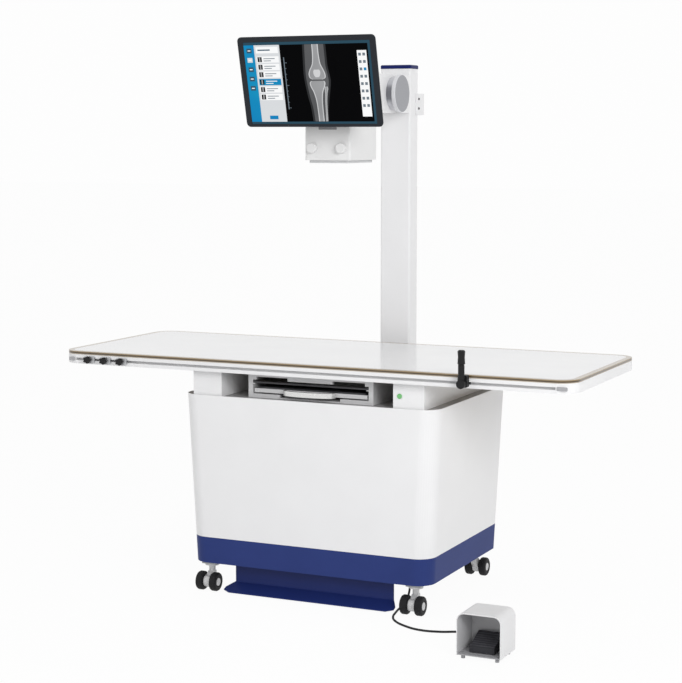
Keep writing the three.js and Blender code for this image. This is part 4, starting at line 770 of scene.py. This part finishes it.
def add_monitor_shell():
    points = []
    for depth, inset in SHELL_LOOPS:
        corner = max(SHELL_CORNER - inset, SHELL_LEAST_CORNER)
        outline = rounded_outline(SHELL_WIDTH - 2 * inset, SHELL_HEIGHT - 2 * inset, corner)
        points += [on_monitor(x, depth, z) for x, z in outline]
    opening = rounded_outline(OPENING_WIDTH, OPENING_HIGH - OPENING_LOW, OPENING_CORNER)
    middle = (OPENING_HIGH + OPENING_LOW) / 2
    for depth in (SHELL_FRONT, OPENING_FLOOR):
        points += [on_monitor(x, depth, z + middle) for x, z in opening]
    faces = loop_faces(len(SHELL_LOOPS) + 2, len(opening))
    shell = mesh_piece("monitor_shell", points, faces, "dark_plastic", "monitor")
    smooth(shell, SHELL_CREASE)
    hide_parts("monitor_housing")


def add_monitor_hinge():
    profile = [(EAR_ROOT, -EAR_RADIUS)]
    for step in range(EAR_STEPS + 1):
        angle = math.radians(-90 + 180 * step / EAR_STEPS)
        profile.append((EAR_RADIUS * math.cos(angle), EAR_RADIUS * math.sin(angle)))
    profile.append((EAR_ROOT, EAR_RADIUS))
    faces = loop_faces(2, len(profile))
    for name, start, end in (("left", -EAR_OUTER, -EAR_INNER), ("right", EAR_INNER, EAR_OUTER)):
        points = [on_monitor(x, y, z) for x in (start, end) for y, z in profile]
        ear = mesh_piece(f"monitor_ear_{name}", points, faces, "dark_plastic", "monitor")
        smooth(ear, SHELL_CREASE)
    lathe("monitor_pin", MONITOR_PIN, MONITOR_AXIS, (1, 0, 0), "steel", "monitor", PIN_SIDES)


def add_monitor_vents():
    for name, x in (("left", -VENT_X), ("right", VENT_X)):
        for row in range(VENT_ROWS):
            spot = Vector((x, SHELL_BACK - VENT_SINK, VENT_TOP - row * VENT_PITCH)) * MM
            place = MONITOR_PLACE @ Matrix.Translation(spot) @ Matrix.Rotation(math.pi, 4, "Z")
            rounded_plate(f"monitor_vent_{name}_{row + 1}", VENT, VENT_CORNER, place, "grid_face", "monitor")


add_monitor_shell()
add_monitor_hinge()
add_monitor_vents()

# Screen: a generic viewer with a list, one radiograph, a scale and tool columns

SCREEN_DARK = (0.001, 0.001, 0.0012, 1.0)
PIXEL_SCALE = 2600
LAYER_STEP = 0.06          # between two layers of the picture


def glowing(name, colour, strength, second=None):
    """Display colour with a faint pixel pattern and, if asked, a slow change to a second colour."""
    look = Look(name, 0.25)
    look.set(Base_Color=SCREEN_DARK, Emission_Strength=strength, Specular_IOR_Level=0.02)
    pixels = look.noise(PIXEL_SCALE, 1)
    shade = look.ramp(pixels, [(0.2, scaled(colour, 0.94)), (0.8, scaled(colour, 1.04))])
    if second:
        shade = look.mix(look.noise(9, 2), shade, second)
    look.link(shade, look.shader.inputs["Emission Color"])
    return look.material


# Display colours: colour, strength and, for uneven ones, a second colour
DISPLAY = {
    "screen_frame": (tone(48, 82, 100), 0.85),
    "screen_black": (tone(3, 3, 4), 0.6),
    "screen_teal": (tone(26, 160, 196), 0.95, tone(14, 116, 190)),
    "screen_pale": (tone(222, 225, 228), 0.95),
    "screen_white": (tone(250, 251, 252), 1.0),
    "screen_slate": (tone(60, 92, 112), 0.9),
    "screen_ink": (tone(120, 132, 142), 0.9),
    "screen_cortex": (tone(226, 227, 228), 0.95, tone(196, 197, 199)),
    "screen_marrow": (tone(176, 177, 179), 0.9, tone(142, 143, 145)),
    "screen_tissue": (tone(112, 113, 115), 0.85, tone(82, 83, 85)),
    "screen_skin": (tone(62, 63, 65), 0.8, tone(44, 45, 47)),
}
MATERIALS.update({name: glowing(name, *values) for name, values in DISPLAY.items()})


def screen_shape(name, points, material, lift):
    """Flat polygon on the screen from (right, up) points in millimetres; lift orders the layers."""
    place = [on_monitor(x, SCREEN_FACE - lift * LAYER_STEP, z) for x, z in points]
    mesh_piece(name, place, [tuple(range(len(points)))], material, "monitor")


def panel(name, left, right, low, high, material, lift):
    """Rectangle on the screen."""
    screen_shape(name, [(left, low), (right, low), (right, high), (left, high)], material, lift)


def smooth_rows(rows, steps=8):
    """Rows of (height, left, right) with Catmull-Rom rows added in between."""
    padded = [rows[0], *rows, rows[-1]]
    result = []
    for index in range(len(rows) - 1):
        before, start, end, after = (Vector(row) for row in padded[index:index + 4])
        slope = end - before
        bend = 2 * before - 5 * start + 4 * end - after
        twist = 3 * start - before - 3 * end + after
        for step in range(steps):
            t = step / steps
            result.append(0.5 * (2 * start + slope * t + bend * t ** 2 + twist * t ** 3))
    result.append(Vector(rows[-1]))
    return result


def anatomy(name, rows, material, lift, shrink=0.0):
    """Closed shape on the radiograph from rows of (height, left, right), pulled in by shrink."""
    kept = [row for row in smooth_rows(rows) if row[2] - row[1] > 2 * shrink]
    left_side = [(left + shrink, height) for height, left, right in kept]
    right_side = [(right - shrink, height) for height, left, right in kept]
    screen_shape(name, left_side[::-1] + right_side, material, lift)


# A straight generic knee joint: (height, left, right) on the screen
LIMB = [
    (118, -12, 68), (84, -14, 68), (50, -16, 68), (24, -17, 72), (2, -16, 74),
    (-24, -13, 70), (-52, -9, 64), (-84, -3, 58), (-127, 0, 54),
]
FEMUR = [(118, 20, 42), (84, 19, 42), (56, 15, 45), (38, 5, 53), (24, 0, 58), (12, 3, 57), (7, 12, 46)]
TIBIA = [(2, 6, 52), (-4, 1, 55), (-16, 3, 52), (-34, 11, 44), (-60, 17, 40), (-90, 19, 39), (-127, 20, 39)]
FIBULA = [(-16, 53, 61), (-24, 51, 62), (-38, 51, 58), (-70, 48, 54), (-127, 45, 51)]
KNEECAP = [(38, 20, 38), (32, 17, 41), (22, 18, 40), (14, 23, 35)]
SKIN = 7
CORTEX = 3.2


def add_radiograph():
    anatomy("screen_skin_line", LIMB, "screen_skin", 2)
    anatomy("screen_limb", LIMB, "screen_tissue", 3, SKIN)
    for name, rows in (("femur", FEMUR), ("tibia", TIBIA), ("fibula", FIBULA)):
        end_width = rows[-1][2] - rows[-1][1]
        anatomy(f"screen_{name}", rows, "screen_cortex", 4)
        anatomy(f"screen_{name}_marrow", rows, "screen_marrow", 5, min(CORTEX, end_width / 4))
    anatomy("screen_kneecap", KNEECAP, "screen_cortex", 6)


# Layout of the viewer inside the screen's frame
LEFT = -SCREEN_HALF_X
RIGHT = SCREEN_HALF_X
LOW = SCREEN_LOW + 7
HIGH = SCREEN_HIGH - 9
SIDE_END = LEFT + 36
LIST_END = LEFT + 126
IMAGE_END = RIGHT - 8
CARD_LEFT = SIDE_END + 6
CARD_RIGHT = LIST_END - 6
CARDS = 6
CARD_CHOSEN = 3
CARD_HEIGHT = 20
CARD_PITCH = 24
CARD_TOP = HIGH - 36
THUMB_LEFT = CARD_LEFT + 3
THUMB_RIGHT = THUMB_LEFT + 15
TEXT_LEFT = CARD_LEFT + 24
TEXT_LINES = ((106, 6), (92, 13))      # right end from the screen's left, and drop from the card's top
TEXT_HEIGHT = 2.5
ICONS = 5
ICON_CHOSEN = 1
ICON_HEIGHT = 15
ICON_PITCH = 30
TOOL_ROWS = 8
TOOL_COLUMNS = 2
TOOL_CHOSEN = (2, 1)
TOOL_SIZE = 9
TOOL_PITCH = (14, 23)
TICKS = 9
TICK_PITCH = 18
TICK_HEIGHT = 1.4
TICK_LEFT = LIST_END + 13
LONG_TICK = 8
SHORT_TICK = 4
LONG_TICK_EVERY = 4


def add_list():
    panel("screen_list", SIDE_END, LIST_END, LOW, HIGH, "screen_pale", 1)
    panel("screen_list_head", CARD_LEFT, CARD_RIGHT, HIGH - 26, HIGH - 6, "screen_white", 2)
    panel("screen_list_title", CARD_LEFT + 6, CARD_LEFT + 50, HIGH - 18, HIGH - 14, "screen_slate", 3)
    for index in range(CARDS):
        top = CARD_TOP - index * CARD_PITCH
        card, ink = "screen_white", "screen_ink"
        if index == CARD_CHOSEN:
            card, ink = "screen_teal", "screen_white"
        panel(f"screen_row_{index}", CARD_LEFT, CARD_RIGHT, top - CARD_HEIGHT, top, card, 2)
        panel(f"screen_thumb_{index}", THUMB_LEFT, THUMB_RIGHT, top - 18, top - 2, "screen_black", 3)
        bone = (THUMB_LEFT + 5, THUMB_RIGHT - 5, top - 17, top - 3)
        panel(f"screen_thumb_bone_{index}", *bone, "screen_marrow", 4)
        for line, (end, drop) in enumerate(TEXT_LINES):
            high = top - drop
            panel(f"screen_line_{index}_{line}", TEXT_LEFT, LEFT + end, high - TEXT_HEIGHT, high, ink, 3)
    panel("screen_button", TEXT_LEFT, TEXT_LEFT + 30, LOW + 8, LOW + 20, "screen_teal", 2)


def add_icons():
    for index in range(ICONS):
        top = HIGH - 10 - index * ICON_PITCH
        material = "screen_pale" if index == ICON_CHOSEN else "screen_slate"
        panel(f"screen_icon_{index}", LEFT + 9, LEFT + 27, top - ICON_HEIGHT, top, material, 2)
        panel(f"screen_icon_mark_{index}", LEFT + 13, LEFT + 23, top - 9, top - 6, "screen_white", 3)


def add_tools():
    panel("screen_tools", RIGHT - 46, RIGHT - 14, LOW + 16, HIGH - 22, "screen_white", 2)
    for row in range(TOOL_ROWS):
        top = HIGH - 30 - row * TOOL_PITCH[1]
        for column in range(TOOL_COLUMNS):
            start = RIGHT - 42 + column * TOOL_PITCH[0]
            material = "screen_teal" if (row, column) == TOOL_CHOSEN else "screen_ink"
            panel(f"screen_tool_{row}_{column}", start, start + TOOL_SIZE, top - TOOL_SIZE, top, material, 3)


def add_scale():
    panel("screen_scale", TICK_LEFT - 3, TICK_LEFT, LOW + 40, HIGH - 40, "screen_ink", 2)
    for index in range(TICKS):
        at = LOW + 44 + index * TICK_PITCH
        end = TICK_LEFT + (SHORT_TICK if index % LONG_TICK_EVERY else LONG_TICK)
        panel(f"screen_scale_tick_{index}", TICK_LEFT, end, at, at + TICK_HEIGHT, "screen_ink", 2)


panel("screen_ground", LEFT, RIGHT, SCREEN_LOW, SCREEN_HIGH, "screen_frame", 0)
panel("screen_image", LIST_END, IMAGE_END, LOW, HIGH, "screen_black", 1)
panel("screen_side", LEFT, SIDE_END, LOW, HIGH, "screen_teal", 1)
add_list()
add_icons()
add_tools()
add_scale()
add_radiograph()

# Stage: floor that keeps the shadow, white surroundings, soft lamps

FLOOR_HALF = 40
FLOOR_TONES = ((0.9, 0.9, 0.9, 1), (0.92, 0.92, 0.92, 1))
FLOOR_WHITE = 0.95         # share of plain white in what the camera sees of the floor; the rest takes shadow
PLAIN_WHITE = (1, 1, 1, 1)
AMBIENT = 0.6
SURROUNDINGS = 0.985       # what the camera and reflections see, level with the lit floor
LAMP_AIM = (0, 0, 0.7)
# Place, size and power of each lamp
LAMPS = {
    "key_lamp": ((3.9, -3.5, 2.6), 2.0, 122),
    "fill_lamp": ((-3.4, -3.6, 3.4), 2.4, 24),
}


def add_floor():
    data = bpy.data.meshes.new("floor")
    turns = ((-1, -1), (1, -1), (1, 1), (-1, 1))
    data.from_pydata([(x * FLOOR_HALF, y * FLOOR_HALF, 0) for x, y in turns], [], [(0, 1, 2, 3)])
    floor = bpy.data.objects.new("floor", data)
    scene.collection.objects.link(floor)
    look = Look("floor", 0.9)
    look.colour(look.ramp(look.noise(2, 2), [(0.0, FLOOR_TONES[0]), (1.0, FLOOR_TONES[1])]))
    glow = look.node("ShaderNodeEmission")
    glow.inputs["Color"].default_value = PLAIN_WHITE
    seen = look.node("ShaderNodeLightPath")
    clear = look.math("MAXIMUM", seen.outputs["Is Glossy Ray"], seen.outputs["Is Transmission Ray"])
    share = look.math("MULTIPLY", look.math("MAXIMUM", seen.outputs["Is Camera Ray"], clear), FLOOR_WHITE)
    blend = look.node("ShaderNodeMixShader")
    look.link(share, blend.inputs["Fac"])
    look.link(look.shader.outputs["BSDF"], blend.inputs[1])
    look.link(glow.outputs["Emission"], blend.inputs[2])
    look.link(blend.outputs["Shader"], look.nodes["Material Output"].inputs["Surface"])
    data.materials.append(look.material)


def add_world():
    world = bpy.data.worlds.new("studio")
    world.use_nodes = True
    scene.world = world
    nodes, links = world.node_tree.nodes, world.node_tree.links
    background = nodes["Background"]
    background.inputs["Color"].default_value = PLAIN_WHITE
    seen = nodes.new("ShaderNodeLightPath")
    direct = seen.outputs["Is Camera Ray"]
    for ray in ("Is Glossy Ray", "Is Transmission Ray"):
        either = nodes.new("ShaderNodeMath")
        either.operation = "MAXIMUM"
        links.new(direct, either.inputs[0])
        links.new(seen.outputs[ray], either.inputs[1])
        direct = either.outputs["Value"]
    level = nodes.new("ShaderNodeMapRange")
    level.inputs["To Min"].default_value = AMBIENT
    level.inputs["To Max"].default_value = SURROUNDINGS
    links.new(direct, level.inputs["Value"])
    links.new(level.outputs["Result"], background.inputs["Strength"])


def add_lamp(name, place, size, power):
    """Area lamp towards the table's middle, kept out of reflections."""
    data = bpy.data.lights.new(name, "AREA")
    data.size = size
    data.energy = power
    lamp = bpy.data.objects.new(name, data)
    lamp.location = place
    lamp.rotation_euler = (Vector(LAMP_AIM) - Vector(place)).to_track_quat("-Z", "Y").to_euler()
    lamp.visible_glossy = False
    scene.collection.objects.link(lamp)


add_floor()
add_world()
for lamp_name, values in LAMPS.items():
    add_lamp(lamp_name, *values)
scene.view_settings.view_transform = "Standard"
